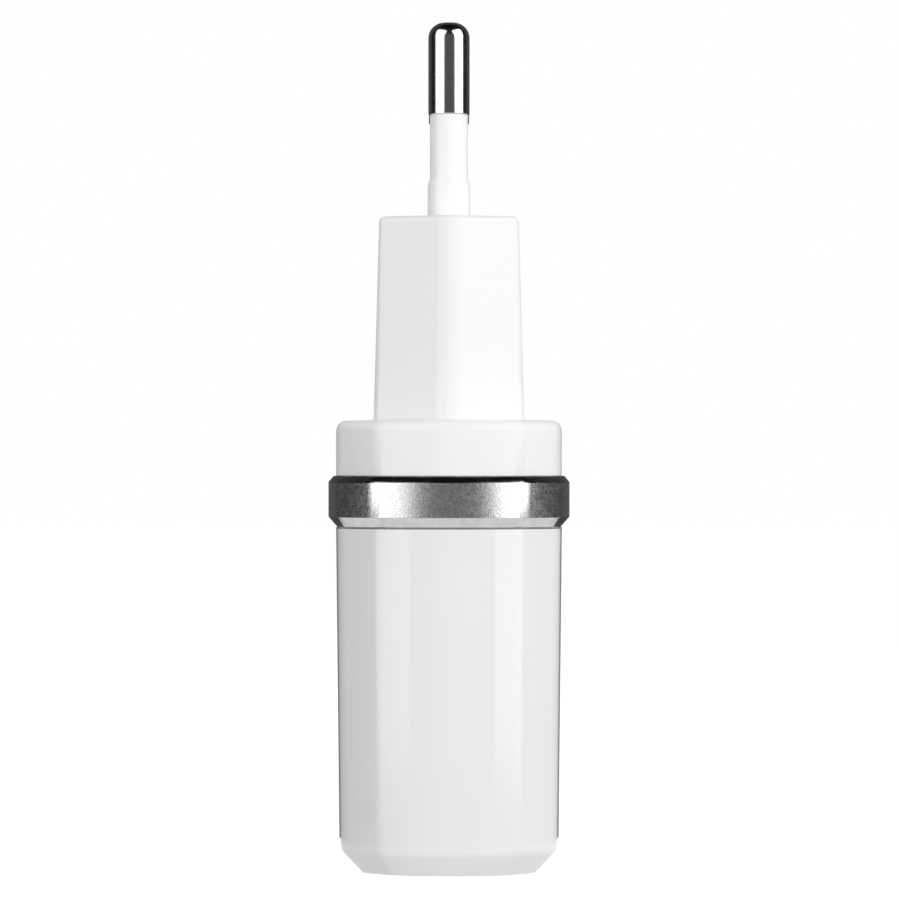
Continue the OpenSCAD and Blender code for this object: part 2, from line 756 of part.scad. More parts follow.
rear_housing();
plug_cover();
trim_ring();
pin(-1);  // left_pin
pin(1);  // right_pin
pin_sleeve(-1);  // left_pin_sleeve
pin_sleeve(1);  // right_pin_sleeve
pin_retainer();
contact_strip(-1);  // left_contact_strip
contact_strip(1);  // right_contact_strip
main_board();
insulating_sheet();
usb_shell(-1);  // left_usb_shell
usb_shell(1);  // right_usb_shell
usb_tongue(-1);  // left_usb_tongue
usb_tongue(1);  // right_usb_tongue
usb_springs(-1);  // left_usb_springs
usb_springs(1);  // right_usb_springs
usb_tails(-1);  // left_usb_tails
usb_tails(1);  // right_usb_tails
core_half(1);  // transformer_upper_core
core_half(-1);  // transformer_lower_core
transformer_bobbin();
transformer_winding();
transformer_pins();
plug_capacitor();
board_capacitor();
output_capacitor(0);  // first_output_capacitor
output_capacitor(1);  // second_output_capacitor
fusible_resistor();
input_choke();
safety_capacitor();
bridge_rectifier();
switching_controller();
output_rectifier();
clamp_diode();
port_controller();
chip_resistors();
chip_capacitors();
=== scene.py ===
"""Looks of a twin-port USB wall charger with a fixed two-pin plug.

The charger stands on its port end. X runs across the wide faces, Y through the
thickness and Z towards the pins. Meshes are shaped in millimetres and are turned
into metres when a piece is finished.
"""

import logging
import math
from dataclasses import dataclass, field
from enum import Enum

import bmesh
import bpy
from mathutils import Matrix, Vector


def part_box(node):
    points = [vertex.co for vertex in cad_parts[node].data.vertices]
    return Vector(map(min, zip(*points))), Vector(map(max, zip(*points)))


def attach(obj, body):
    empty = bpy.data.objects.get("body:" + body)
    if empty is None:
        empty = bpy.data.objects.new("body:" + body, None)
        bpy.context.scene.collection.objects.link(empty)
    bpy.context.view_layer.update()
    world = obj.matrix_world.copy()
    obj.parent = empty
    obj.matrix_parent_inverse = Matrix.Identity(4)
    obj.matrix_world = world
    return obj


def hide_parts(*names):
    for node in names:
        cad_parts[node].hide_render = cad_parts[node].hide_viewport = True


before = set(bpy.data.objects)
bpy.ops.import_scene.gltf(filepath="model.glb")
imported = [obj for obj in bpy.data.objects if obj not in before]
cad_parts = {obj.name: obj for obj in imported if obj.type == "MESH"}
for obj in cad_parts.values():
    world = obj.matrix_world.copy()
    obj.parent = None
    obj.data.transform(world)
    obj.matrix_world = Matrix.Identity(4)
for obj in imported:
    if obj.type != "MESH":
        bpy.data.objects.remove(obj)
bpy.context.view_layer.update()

LOG = logging.getLogger("charger")
MM = 0.001
CHARGER = "charger"
SAME_POINT = 1e-4  # points closer than this, in millimetres, are one point
SEAM = 2e-3  # the widest gap, in millimetres, that a sweep closes where it comes round
UP = Vector((0.0, 0.0, 1.0))


def node_box(node: str) -> tuple[Vector, Vector]:
    """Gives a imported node's lowest and highest corners in millimetres."""
    low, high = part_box(node)
    return low / MM, high / MM


# --------------------------------------------------------------------------
# Sections, outlines and sweeps
# --------------------------------------------------------------------------


@dataclass(frozen=True)
class Knee:
    """A corner of a wall's section.

    Attributes:
        out: how far the point is from the outline, inwards, or from a turned part's axis.
        up: its height.
        round_r: the radius that the corner is rounded to.
        steps: how many flats the rounding has.
    """

    out: float
    up: float
    round_r: float = 0.0
    steps: int = 5


def rounded_section(knees: list[Knee]) -> list[Vector]:
    """Rounds the knees of a section by bevelling a wire's corners.

    Args:
        knees: the section's corners in order.

    Returns:
        The section's points in order, as (out, up, 0).
    """
    wire = bmesh.new()
    corners = [wire.verts.new((k.out, k.up, 0.0)) for k in knees]
    for pair in zip(corners, corners[1:]):
        wire.edges.new(pair)
    start = corners[0]
    for knee, corner in zip(knees, corners):
        if knee.round_r:
            arms = [e.other_vert(corner).co - corner.co for e in corner.link_edges]
            turn = math.pi - arms[0].angle(arms[1])
            bmesh.ops.bevel(
                wire, geom=[corner], affect="VERTICES", offset_type="OFFSET",
                offset=knee.round_r * math.tan(turn / 2), segments=knee.steps,
                profile=0.5, material=-1, clamp_overlap=False,
            )
    points, last, here = [], None, start
    while here is not None:
        points.append(here.co.copy())
        onward = [e.other_vert(here) for e in here.link_edges]
        last, here = here, next((v for v in onward if v is not last), None)
    wire.free()
    return points


def heading(angle: float) -> Vector:
    """Gives the level direction at an angle from X."""
    return Vector((math.cos(angle), math.sin(angle), 0.0))


@dataclass(frozen=True)
class Arc:
    """One arc of an outline seen from above, run anticlockwise.

    Attributes:
        centre: the arc's centre.
        radius: its radius.
        start: the angle that it starts at, in radians.
        turn: the angle that it covers, in radians.
        steps: how many flats it has.
    """

    centre: Vector
    radius: float
    start: float
    turn: float
    steps: int

    @property
    def entry(self) -> Vector:
        """Where the arc starts."""
        return self.centre + heading(self.start) * self.radius

    @property
    def leave(self) -> Vector:
        """Where the arc ends."""
        return self.centre + heading(self.start + self.turn) * self.radius

    def mirrored(self) -> "Arc":
        """Gives the arc on the other side of the Y axis, still run anticlockwise."""
        centre = Vector((-self.centre.x, self.centre.y, 0.0))
        return Arc(centre, self.radius, math.pi - self.start - self.turn, self.turn, self.steps)

    def turned_round(self) -> "Arc":
        """Gives the arc half a turn further round the origin."""
        return Arc(-self.centre, self.radius, self.start + math.pi, self.turn, self.steps)


def polygon_arcs(corners: list[Vector], radii: list[float], steps: int) -> list[Arc]:
    """Rounds a convex polygon's corners into arcs; its straight sides are the gaps between.

    Args:
        corners: the corners, anticlockwise.
        radii: the radius of each corner.
        steps: how many flats each rounded corner has.

    Returns:
        The arcs in order.
    """
    arcs = []
    for i, corner in enumerate(corners):
        before, after = corners[i - 1], corners[(i + 1) % len(corners)]
        run_in, run_out = (corner - before).normalized(), (after - corner).normalized()
        turn = run_in.angle(run_out)
        inward = (run_out - run_in).normalized()
        centre = corner + inward * radii[i] / math.cos(turn / 2)
        start = math.atan2(-run_in.x, run_in.y)
        arcs.append(Arc(centre, radii[i], start, turn, steps))
    return arcs


def rectangle_arcs(
    centre: Vector, width: float, depth: float, radius: float, steps: int,
) -> list[Arc]:
    """Gives the outline of a rectangle with rounded corners.

    Args:
        centre: the rectangle's centre.
        width: its size along X.
        depth: its size along Y.
        radius: the corners' radius.
        steps: how many flats each corner has.

    Returns:
        The four arcs in order.
    """
    signs = ((1, -1), (1, 1), (-1, 1), (-1, -1))
    corners = [centre + Vector((sx * width / 2, sy * depth / 2, 0.0)) for sx, sy in signs]
    return polygon_arcs(corners, [radius] * 4, steps)


def sweep(
    bm: bmesh.types.BMesh, section: list[Vector], arcs: list[Arc], closed: bool = False,
) -> None:
    """Runs a section round an outline: each arc is a spin and each straight side an extrusion.

    Args:
        bm: the mesh that takes the wall.
        section: the wall's points as (distance inwards from the outline, height, 0).
        arcs: the outline.
        closed: whether the section's last point joins its first.
    """
    first = arcs[0]
    inward = -heading(first.start)
    verts = [bm.verts.new(first.entry + inward * p.x + UP * p.y) for p in section]
    pairs = list(zip(verts, verts[1:])) + ([(verts[-1], verts[0])] if closed else [])
    rim = verts + [bm.edges.new(pair) for pair in pairs]
    for arc, following in zip(arcs, arcs[1:] + arcs[:1]):
        rim = bmesh.ops.spin(
            bm, geom=rim, cent=arc.centre, axis=UP, angle=arc.turn, steps=arc.steps,
        )["geom_last"]
        side = following.entry - arc.leave
        if side.length > SAME_POINT:
            edges = [g for g in rim if isinstance(g, bmesh.types.BMEdge)]
            pulled = bmesh.ops.extrude_edge_only(bm, edges=edges)["geom"]
            rim_verts = [g for g in pulled if isinstance(g, bmesh.types.BMVert)]
            fresh = set(rim_verts)
            bmesh.ops.translate(bm, verts=rim_verts, vec=side)
            rim = rim_verts + [
                g for g in pulled
                if isinstance(g, bmesh.types.BMEdge) and fresh.issuperset(g.verts)
            ]
    bmesh.ops.remove_doubles(bm, verts=bm.verts, dist=SEAM)


def open_edges(bm: bmesh.types.BMesh, height: float) -> list[bmesh.types.BMEdge]:
    """Gives the boundary edges that lie at one height."""
    return [
        e for e in bm.edges
        if e.is_boundary and all(abs(v.co.z - height) < SAME_POINT for v in e.verts)
    ]


def fill_level(bm: bmesh.types.BMesh, height: float) -> None:
    """Fills the flat face between all the boundary loops at one height."""
    bmesh.ops.triangle_fill(bm, edges=open_edges(bm, height), use_beauty=True)


def turned(
    bm: bmesh.types.BMesh, knees: list[Knee], steps: int, closed: bool = False,
) -> list[bmesh.types.BMVert]:
    """Turns a section about Z.

    Args:
        bm: the mesh that takes the turned part.
        knees: the section as distances from the axis and heights.
        steps: how many flats go round.
        closed: whether the section's last point joins its first.

    Returns:
        The new vertices.
    """
    before = set(bm.verts)
    points = rounded_section(knees)
    verts = [bm.verts.new((p.x, 0.0, p.y)) for p in points]
    pairs = list(zip(verts, verts[1:])) + ([(verts[-1], verts[0])] if closed else [])
    wire = verts + [bm.edges.new(pair) for pair in pairs]
    bmesh.ops.spin(
        bm, geom=wire, cent=(0, 0, 0), axis=UP, angle=math.tau, steps=steps, use_merge=True,
    )
    fresh = [v for v in bm.verts if v not in before]
    bmesh.ops.remove_doubles(bm, verts=fresh, dist=SAME_POINT)
    return [v for v in bm.verts if v not in before]


def brick(bm: bmesh.types.BMesh, low: Vector, high: Vector, edge: float) -> None:
    """Adds a block from its lowest to its highest corner, with its edges eased.

    Args:
        bm: the mesh that takes the block.
        low: the lowest corner.
        high: the highest corner.
        edge: the width of the eased edges.
    """
    size, centre = high - low, (low + high) / 2
    place = Matrix.Translation(centre) @ Matrix.Diagonal((*size, 1.0))
    cube = bmesh.ops.create_cube(bm, size=1.0, matrix=place)
    edges = list({e for v in cube["verts"] for e in v.link_edges})
    bmesh.ops.bevel(
        bm, geom=edges, affect="EDGES", offset=edge, segments=2, profile=0.5, material=-1,
    )


def finish_piece(
    name: str,
    bm: bmesh.types.BMesh,
    body: str,
    materials: list[bpy.types.Material],
    stands_for: tuple[str, ...],
    crease_deg: float = 30.0,
) -> bpy.types.Object:
    """Closes a mesh in millimetres into a finished piece that rides on its body.

    Args:
        name: the piece's name.
        bm: its mesh, which is freed.
        body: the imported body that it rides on.
        materials: its materials, in the order of its faces' indices.
        stands_for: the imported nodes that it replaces.
        crease_deg: edges sharper than this stay crisp.

    Returns:
        The finished object.
    """
    bmesh.ops.remove_doubles(bm, verts=bm.verts, dist=SAME_POINT)
    bmesh.ops.recalc_face_normals(bm, faces=bm.faces)
    bmesh.ops.scale(bm, verts=bm.verts, vec=(MM, MM, MM))
    mesh = bpy.data.meshes.new(name)
    bm.to_mesh(mesh)
    bm.free()
    for face in mesh.polygons:
        face.use_smooth = True
    mesh.set_sharp_from_angle(angle=math.radians(crease_deg))
    for material in materials:
        mesh.materials.append(material)
    piece = bpy.data.objects.new(name, mesh)
    bpy.context.scene.collection.objects.link(piece)
    weighted = piece.modifiers.new("even_shading", "WEIGHTED_NORMAL")
    weighted.keep_sharp = True
    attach(piece, body)
    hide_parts(*stands_for)
    LOG.info("made %s with %d faces on %s", name, len(mesh.polygons), body)
    return piece


# --------------------------------------------------------------------------
# Finishes
# --------------------------------------------------------------------------

Colour = tuple[float, float, float]
Stretch = tuple[float, float, float]
Socket = bpy.types.NodeSocket


def add_node(tree: bpy.types.NodeTree, kind: str, **inputs: object) -> bpy.types.Node:
    """Adds a shader node; each input is a value or a socket to link from.

    Args:
        tree: the node tree that takes it.
        kind: the node's type, without its ShaderNode prefix.
        inputs: the inputs by name, with _ for each space, or by number as i0, i1 and so on.

    Returns:
        The new node.
    """
    made = tree.nodes.new("ShaderNode" + kind)
    for name, value in inputs.items():
        key = int(name[1:]) if name[0] == "i" and name[1:].isdigit() else name.replace("_", " ")
        if isinstance(value, Socket):
            tree.links.new(value, made.inputs[key])
        else:
            made.inputs[key].default_value = value
    return made


class Recipe:
    """A material's shader and the textures that drive it, all on Object coordinates."""

    def __init__(self, name: str, **constants: float | Colour) -> None:
        """Makes the material and sets what is the same all over it.

        Args:
            name: the material's name.
            constants: values for the shader's own sockets, with _ for each space.
        """
        self.material = bpy.data.materials.new(name)
        self.material.use_nodes = True
        self.tree = self.material.node_tree
        self.shader = self.tree.nodes["Principled BSDF"]
        for socket, value in constants.items():
            given = (*value, 1.0) if isinstance(value, tuple) else value
            self.shader.inputs[socket.replace("_", " ")].default_value = given
        self.place = self.tree.nodes.new("ShaderNodeTexCoord").outputs["Object"]

    def node(self, kind: str, **inputs: object) -> bpy.types.Node:
        """Adds a node to the material, with its inputs given as for add_node."""
        return add_node(self.tree, kind, **inputs)

    def mapped(self, scale: Stretch) -> Socket:
        """Gives the Object coordinates with each axis multiplied by its own factor."""
        return self.node("Mapping", Vector=self.place, Scale=scale).outputs[0]

    def noise(
        self, size_mm: float, detail: float = 2.0, rough: float = 0.5, place: Socket | None = None,
    ) -> Socket:
        """Gives smooth noise with spots of about one size.

        Args:
            size_mm: the size of the spots.
            detail: how many finer layers it has.
            rough: how strong the finer layers are.
            place: the coordinates, or None for the plain ones.

        Returns:
            The socket of the noise.
        """
        return self.node(
            "TexNoise", Vector=place or self.place, Scale=1 / (size_mm * MM),
            Detail=detail, Roughness=rough,
        ).outputs["Fac"]

    def cells(self, size_mm: float, place: Socket) -> Socket:
        """Gives the distance to the nearest of many scattered points."""
        scale = 1 / (size_mm * MM)
        return self.node("TexVoronoi", Vector=place, Scale=scale).outputs["Distance"]

    def span(
        self, source: Socket, low: float, high: float, from_low: float = 0.3, from_high: float = 0.7,
    ) -> Socket:
        """Stretches a value between two limits.

        Args:
            source: the socket that is stretched.
            low: the result at from_low.
            high: the result at from_high.
            from_low: the value that gives low.
            from_high: the value that gives high.

        Returns:
            The socket of the stretched value.
        """
        return self.node(
            "MapRange", Value=source, From_Min=from_low, From_Max=from_high, To_Min=low, To_Max=high,
        ).outputs[0]

    def blend(self, share: Socket, first: Colour, second: Colour) -> Socket:
        """Mixes two colours by a share.

        Args:
            share: the socket of the second colour's share.
            first: the colour at 0.
            second: the colour at 1.

        Returns:
            The socket of the mixed colour.
        """
        mix = self.tree.nodes.new("ShaderNodeMix")
        mix.data_type = "RGBA"
        self.tree.links.new(share, mix.inputs[0])
        mix.inputs[6].default_value = (*first, 1.0)
        mix.inputs[7].default_value = (*second, 1.0)
        return mix.outputs[2]

    def add(self, first: Socket, second: Socket, share: float) -> Socket:
        """Adds a share of one value to another.

        Args:
            first: the value that is taken whole.
            second: the value that a share is taken of.
            share: how much of it is taken.

        Returns:
            The socket of the sum.
        """
        made = self.node("Math", i0=second, i1=share, i2=first)
        made.operation = "MULTIPLY_ADD"
        return made.outputs[0]

    def feed(self, socket: str, source: Socket) -> None:
        """Links a value to one of the shader's sockets."""
        self.tree.links.new(source, self.shader.inputs[socket])

    def relief(self, height: Socket, depth_mm: float) -> None:
        """Turns a height into a bump.

        Args:
            height: the socket of the height, from 0 to 1.
            depth_mm: the depth of the relief.
        """
        bump = self.node("Bump", Height=height, Strength=1.0, Distance=depth_mm * MM)
        self.feed("Normal", bump.outputs[0])


@dataclass(frozen=True)
class MouldedPlastic:
    """Injection-moulded plastic: a fine mould texture and a slow ripple under its gloss."""

    name: str
    light: Colour
    shade: Colour
    gloss: tuple[float, float]
    texture_mm: float
    texture_depth_mm: float
    ripple_mm: float = 6.0
    ripple_depth_mm: float = 0.004

    def material(self) -> bpy.types.Material:
        """Makes the material.

        Returns:
            The finished material.
        """
        recipe = Recipe(self.name, IOR=1.46)
        slow = recipe.noise(self.ripple_mm, 1.0)
        fine = recipe.noise(self.texture_mm, 2.0)
        recipe.feed("Base Color", recipe.blend(recipe.span(slow, 0, 1), self.light, self.shade))
        recipe.feed("Roughness", recipe.span(recipe.noise(5.0, 2.0), *self.gloss))
        share = self.texture_depth_mm / self.ripple_depth_mm
        recipe.relief(recipe.add(slow, fine, share), self.ripple_depth_mm)
        return recipe.material


@dataclass(frozen=True)
class BlastedMetal:
    """Bead-blasted, anodised aluminium: a fine grain that sparkles where it faces a light."""

    name: str
    light: Colour
    shade: Colour
    gloss: tuple[float, float]
    grain_mm: float
    grain_depth_mm: float

    def material(self) -> bpy.types.Material:
        """Makes the material.

        Returns:
            The finished material.
        """
        recipe = Recipe(self.name, Metallic=1.0)
        grain = recipe.noise(self.grain_mm, 2.0, 0.7)
        share = recipe.span(grain, 0, 1, 0.42, 0.58)
        recipe.feed("Base Color", recipe.blend(share, self.shade, self.light))
        recipe.feed("Roughness", recipe.span(recipe.noise(self.grain_mm * 3, 2.0), *self.gloss))
        recipe.relief(grain, self.grain_depth_mm)
        return recipe.material


@dataclass(frozen=True)
class TurnedMetal:
    """Machined or drawn metal: fine lines that run round Z, and soft blotches in its shine."""

    name: str
    light: Colour
    shade: Colour
    gloss: tuple[float, float]
    line_mm: float
    line_depth_mm: float

    def material(self) -> bpy.types.Material:
        """Makes the material.

        Returns:
            The finished material.
        """
        recipe = Recipe(self.name, Metallic=1.0)
        lines = recipe.noise(self.line_mm, 2.0, 0.6, recipe.mapped(scale=(0.04, 0.04, 1.0)))
        blotch = recipe.noise(1.1, 2.0)
        recipe.feed("Base Color", recipe.blend(recipe.span(blotch, 0, 1), self.light, self.shade))
        recipe.feed("Roughness", recipe.span(recipe.add(blotch, lines, 0.5), *self.gloss, 0.4, 1.1))
        recipe.relief(lines, self.line_depth_mm)
        return recipe.material


class Pattern(Enum):
    """What breaks up the colour of a plain inner finish."""

    GRAIN = "grain"
    SPECKS = "specks"
    STRANDS = "strands"
    WEAVE = "weave"


@dataclass(frozen=True)
class PlainFinish:
    """A finish of two close tones in a pattern, for the parts inside the case."""

    name: str
    light: Colour
    shade: Colour
    pattern: Pattern
    size_mm: float
    depth_mm: float
    gloss: tuple[float, float]
    metallic: float = 0.0
    stretch: Stretch = (1.0, 1.0, 1.0)

    def material(self) -> bpy.types.Material:
        """Makes the material.

        Returns:
            The finished material.
        """
        recipe = Recipe(self.name, Metallic=self.metallic)
        place = recipe.mapped(scale=self.stretch)
        if self.pattern is Pattern.SPECKS:
            height = recipe.span(recipe.cells(self.size_mm, place), 0.3, 0.7, 0.1, 0.7)
        elif self.pattern is Pattern.STRANDS:
            scale = 1 / (self.size_mm * MM * 20)
            wave = recipe.node("TexWave", Vector=place, Scale=scale, Distortion=0.3)
            height = wave.outputs["Fac"]
        elif self.pattern is Pattern.WEAVE:
            cloth = recipe.noise(self.size_mm, 1.0, 0.5, recipe.mapped(scale=(0.2, 1.0, 1.0)))
            across = recipe.noise(self.size_mm, 1.0, 0.5, recipe.mapped(scale=(1.0, 1.0, 0.2)))
            height = recipe.add(cloth, across, 1.0)
        else:
            height = recipe.noise(self.size_mm, 3.0, 0.6, place)
        recipe.feed("Base Color", recipe.blend(recipe.span(height, 0, 1), self.light, self.shade))
        recipe.feed("Roughness", recipe.span(recipe.noise(0.9, 2.0), *self.gloss))
        recipe.relief(height, self.depth_mm)
        return recipe.material


def dress(node: str, finish: bpy.types.Material) -> None:
    """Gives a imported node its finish.

    Args:
        node: the node's name.
        finish: the material for all of its faces.
    """
    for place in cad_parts[node].material_slots:
        place.material = finish
    LOG.info("dressed %s in %s", node, finish.name)


# --------------------------------------------------------------------------
# The casing
# --------------------------------------------------------------------------


@dataclass
class Casing:
    """The rear housing, the plug cover and the trim ring between them."""

    narrow_r: float = 14.5
    narrow_turn: float = math.radians(26)
    edge_r: float = 3.4
    facet_from: float = math.radians(46)
    facet_to: float = math.radians(54)
    facet_r: float = 30.0
    wide_r: float = 300.0
    wall: float = 2.0
    foot_draft: float = 0.35
    bevel_in: float = 2.15
    bevel_up: float = 2.25
    seat_in: float = 1.0
    lip_in: float = 2.1
    cavity_in: float = 3.0
    ring_proud: float = 0.75
    ring_top_bevel: float = 0.6
    ring_top_in: float = 0.48
    ring_foot_bevel: float = 1.05
    slack: float = 0.05
    stage_h: float = 19.75
    stage_w: float = 35.3
    stage_t: float = 13.5
    end_angle: float = math.radians(33.9)
    stage_draft: float = math.radians(1.56)
    stage_wall: float = 1.8
    face_t: float = 1.9
    point_round: float = 2.0
    side_round: float = 0.7
    mouth_w: float = 13.4
    mouth_t: float = 6.02
    mouth_round: float = 1.05
    mouth_ease: float = 0.25
    port_x: float = 8.0
    rail_t: float = 1.2
    gloss: MouldedPlastic = field(default_factory=lambda: MouldedPlastic(
        "gloss_white_plastic", (0.842, 0.842, 0.842), (0.836, 0.836, 0.838), (0.08, 0.11), 0.5, 0.0001,
        ripple_mm=9.0, ripple_depth_mm=0.0015,
    ))
    satin: MouldedPlastic = field(default_factory=lambda: MouldedPlastic(
        "satin_white_plastic", (0.85, 0.85, 0.849), (0.842, 0.842, 0.844), (0.32, 0.38), 0.16, 0.0010,
    ))
    band: BlastedMetal = field(default_factory=lambda: BlastedMetal(
        "blasted_aluminium", (0.86, 0.86, 0.865), (0.64, 0.64, 0.65), (0.24, 0.3), 0.13, 0.014,
    ))
    # The chamfers are machined aluminium with turned lines and a higher gloss. Their tone is set darker than
    # the band's: painted shade standing in for the dim surroundings that they reflect.
    chamfer: TurnedMetal = field(default_factory=lambda: TurnedMetal(
        "machined_aluminium_painted_shade", (0.52, 0.525, 0.535), (0.45, 0.455, 0.465), (0.1, 0.18), 0.06, 0.001,
    ))

    def __post_init__(self) -> None:
        """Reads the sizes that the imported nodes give."""
        low, high = node_box("rear_housing")
        self.half_w, self.half_t = (high.x - low.x) / 2, (high.y - low.y) / 2
        self.ring_low, self.ring_high = (p.z for p in node_box("trim_ring"))
        self.body_h, self.seat_top = self.ring_low - self.slack, high.z
        self.collar_z = self.ring_high + self.slack
        low, high = node_box("plug_cover")
        self.lip_z, self.face_z = low.z, high.z
        self.stage_z = self.face_z - self.stage_h

    def outline(self) -> list[Arc]:
        """Gives the casing's outline: arcs that meet smoothly, with a facet at each corner.

        Returns:
            The arcs in order, from the middle of the narrow side at +X.
        """
        narrow = Vector((self.half_w - self.narrow_r, 0.0, 0.0))
        wide = Vector((0.0, self.half_t - self.wide_r, 0.0))
        edge = narrow + heading(self.narrow_turn) * (self.narrow_r - self.edge_r)
        facet = edge + heading(self.facet_from) * (self.edge_r - self.facet_r)
        way = heading(self.facet_to)
        end = facet + way * self.facet_r - wide
        corner_r = (end.length_squared - self.wide_r ** 2) / (2 * (end.dot(way) - self.wide_r))
        corner = facet + way * (self.facet_r - corner_r)
        corner_to = math.atan2(corner.y - wide.y, corner.x)
        bends = (
            (narrow, self.narrow_r, self.narrow_turn, 16),
            (edge, self.edge_r, self.facet_from, 12),
            (facet, self.facet_r, self.facet_to, 6),
            (corner, corner_r, corner_to, 14),
            (wide, self.wide_r, math.pi / 2, 6),
        )
        quarter, start = [], 0.0
        for centre, radius, until, steps in bends:
            quarter.append(Arc(centre, radius, start, until - start, steps))
            start = until
        half = quarter + [arc.mirrored() for arc in reversed(quarter)]
        return half + [arc.turned_round() for arc in half]

    def stage_outline(self, inset: float, point_round: float, side_round: float) -> list[Arc]:
        """Gives the plug body's outline at the pin face: a long hexagon with pointed ends.

        Args:
            inset: how far it is brought in.
            point_round: the radius of its two points.
            side_round: the radius of its other corners.

        Returns:
            The arcs in order.
        """
        half_t = self.stage_t / 2 - inset
        reach = self.stage_w / 2 * math.cos(self.end_angle) - inset
        point = Vector((reach / math.cos(self.end_angle), 0, 0))
        side_x = (reach - half_t * math.sin(self.end_angle)) / math.cos(self.end_angle)
        corners = [
            point, Vector((side_x, half_t, 0)), Vector((-side_x, half_t, 0)),
            -point, Vector((-side_x, -half_t, 0)), Vector((side_x, -half_t, 0)),
        ]
        return polygon_arcs(corners, [point_round, side_round, side_round] * 2, 8)

    def grow_at(self, height: float) -> float:
        """Gives how much wider the drafted plug body is at a height than at its pin face."""
        return (self.face_z - height) * math.tan(self.stage_draft)

    def build_housing(self) -> bpy.types.Object:
        """Builds the rear housing, with its two port mouths and the rails for the board.

        Returns:
            The finished housing.
        """
        bm = bmesh.new()
        wall_in = self.foot_draft * self.bevel_up / self.body_h
        foot_in = self.foot_draft + self.bevel_in
        seat_top = self.seat_top
        section = rounded_section([
            Knee(foot_in + 0.8, 0.0),
            Knee(foot_in, 0.0, 0.5, 4),
            Knee(self.foot_draft - wall_in, self.bevel_up, 1.3, 8),
            Knee(0.0, self.body_h, 0.02, 2),
            Knee(self.seat_in, self.body_h),
            Knee(self.seat_in, seat_top),
            Knee(self.wall, seat_top),
            Knee(self.wall, self.body_h),
            Knee(self.wall + self.foot_draft, self.wall),
        ])
        sweep(bm, section, self.outline())
        mouth = rounded_section([
            Knee(-self.mouth_ease, 0.0), Knee(0.0, self.mouth_ease, 0.15, 3), Knee(0.0, self.wall),
        ])
        for side in (-1, 1):
            arcs = rectangle_arcs(
                Vector((side * self.port_x, 0, 0)), self.mouth_w, self.mouth_t, self.mouth_round, 8,
            )
            sweep(bm, mouth, arcs)
        fill_level(bm, 0.0)
        fill_level(bm, self.wall)
        board_low, board_high = node_box("main_board")
        for side in (-1, 1):
            for face in (board_high.y + self.slack, board_low.y - self.slack - self.rail_t):
                reach = sorted((side * (board_high.x - 0.8), side * (self.half_w - 1.4)))
                brick(
                    bm, Vector((reach[0], face, self.bevel_up + 1.4)),
                    Vector((reach[1], face + self.rail_t, self.lip_z - 0.4)), 0.1,
                )
        return finish_piece(
            "rear_housing_shell", bm, CHARGER, [self.gloss.material()], ("rear_housing",),
        )

    def drill_pin_hole(
        self, bm: bmesh.types.BMesh, pin: "Pin", wide_r: float, bore_r: float, relief: float,
    ) -> None:
        """Adds a pin's hole through the pin face, with its shallow relief.

        Args:
            bm: the mesh of the plug cover.
            pin: the pin that stands in the hole.
            wide_r: the relief's radius.
            bore_r: the bore's radius.
            relief: the relief's depth.
        """
        bottom = self.face_z - self.face_t
        levels = [
            (wide_r + 0.08, self.face_z), (wide_r, self.face_z - 0.08), (wide_r, self.face_z - relief),
            (bore_r, self.face_z - relief), (bore_r, bottom),
        ]
        centre = pin.at_height(self.face_z)
        ring = bmesh.ops.create_circle(
            bm, cap_ends=False, radius=levels[0][0], segments=64, matrix=Matrix.Translation(centre),
        )["verts"]
        edges = list({e for v in ring for e in v.link_edges})
        for (radius, height), (next_r, next_z) in zip(levels, levels[1:]):
            pulled = bmesh.ops.extrude_edge_only(bm, edges=edges)["geom"]
            ring = [g for g in pulled if isinstance(g, bmesh.types.BMVert)]
            fresh = set(ring)
            edges = [g for g in pulled if isinstance(g, bmesh.types.BMEdge) and fresh.issuperset(g.verts)]
            here, there = pin.at_height(height), pin.at_height(next_z)
            bmesh.ops.scale(
                bm, verts=ring, vec=(next_r / radius, next_r / radius, 1.0), space=Matrix.Translation(-here),
            )
            bmesh.ops.translate(bm, verts=ring, vec=there - here)

    def build_cover(self, pins: list["Pin"], bore_r: float) -> bpy.types.Object:
        """Builds the plug cover: skirt, collar and hollow plug body in one moulding.

        Args:
            pins: the two pins that pass through its face.
            bore_r: the radius of the pins' bores.

        Returns:
            The finished cover.
        """
        bm = bmesh.new()
        roof = self.stage_z - self.wall
        split = self.seat_top + self.slack
        skirt = rounded_section([
            Knee(self.cavity_in, roof),
            Knee(self.cavity_in, self.lip_z, 0.3, 3),
            Knee(self.lip_in, self.lip_z, 0.3, 3),
            Knee(self.lip_in, split),
            Knee(self.seat_in, split),
            Knee(self.seat_in, self.collar_z),
            Knee(0.0, self.collar_z, 0.1, 2),
            Knee(0.0, self.stage_z, 1.0, 8),
            Knee(1.6, self.stage_z),
        ])
        sweep(bm, skirt, self.outline())
        stage_grow = self.grow_at(self.stage_z)
        plug_body = rounded_section([
            Knee(-stage_grow - 0.5, self.stage_z),
            Knee(-stage_grow, self.stage_z, 0.3, 4),
            Knee(0.0, self.face_z, 0.6, 6),
            Knee(0.66, self.face_z),
        ])
        sweep(bm, plug_body, self.stage_outline(0.0, self.point_round, self.side_round))
        ceiling = self.face_z - self.face_t
        hollow = rounded_section([Knee(-self.grow_at(roof), roof), Knee(-self.grow_at(ceiling), ceiling)])
        sweep(bm, hollow, self.stage_outline(self.stage_wall, 0.8, 0.4))
        for pin in pins:
            self.drill_pin_hole(bm, pin, bore_r + 0.23, bore_r, 0.4)
        for level in (self.stage_z, self.face_z, roof, ceiling):
            fill_level(bm, level)
        return finish_piece(
            "plug_cover_shell", bm, CHARGER, [self.satin.material()], ("plug_cover",),
        )

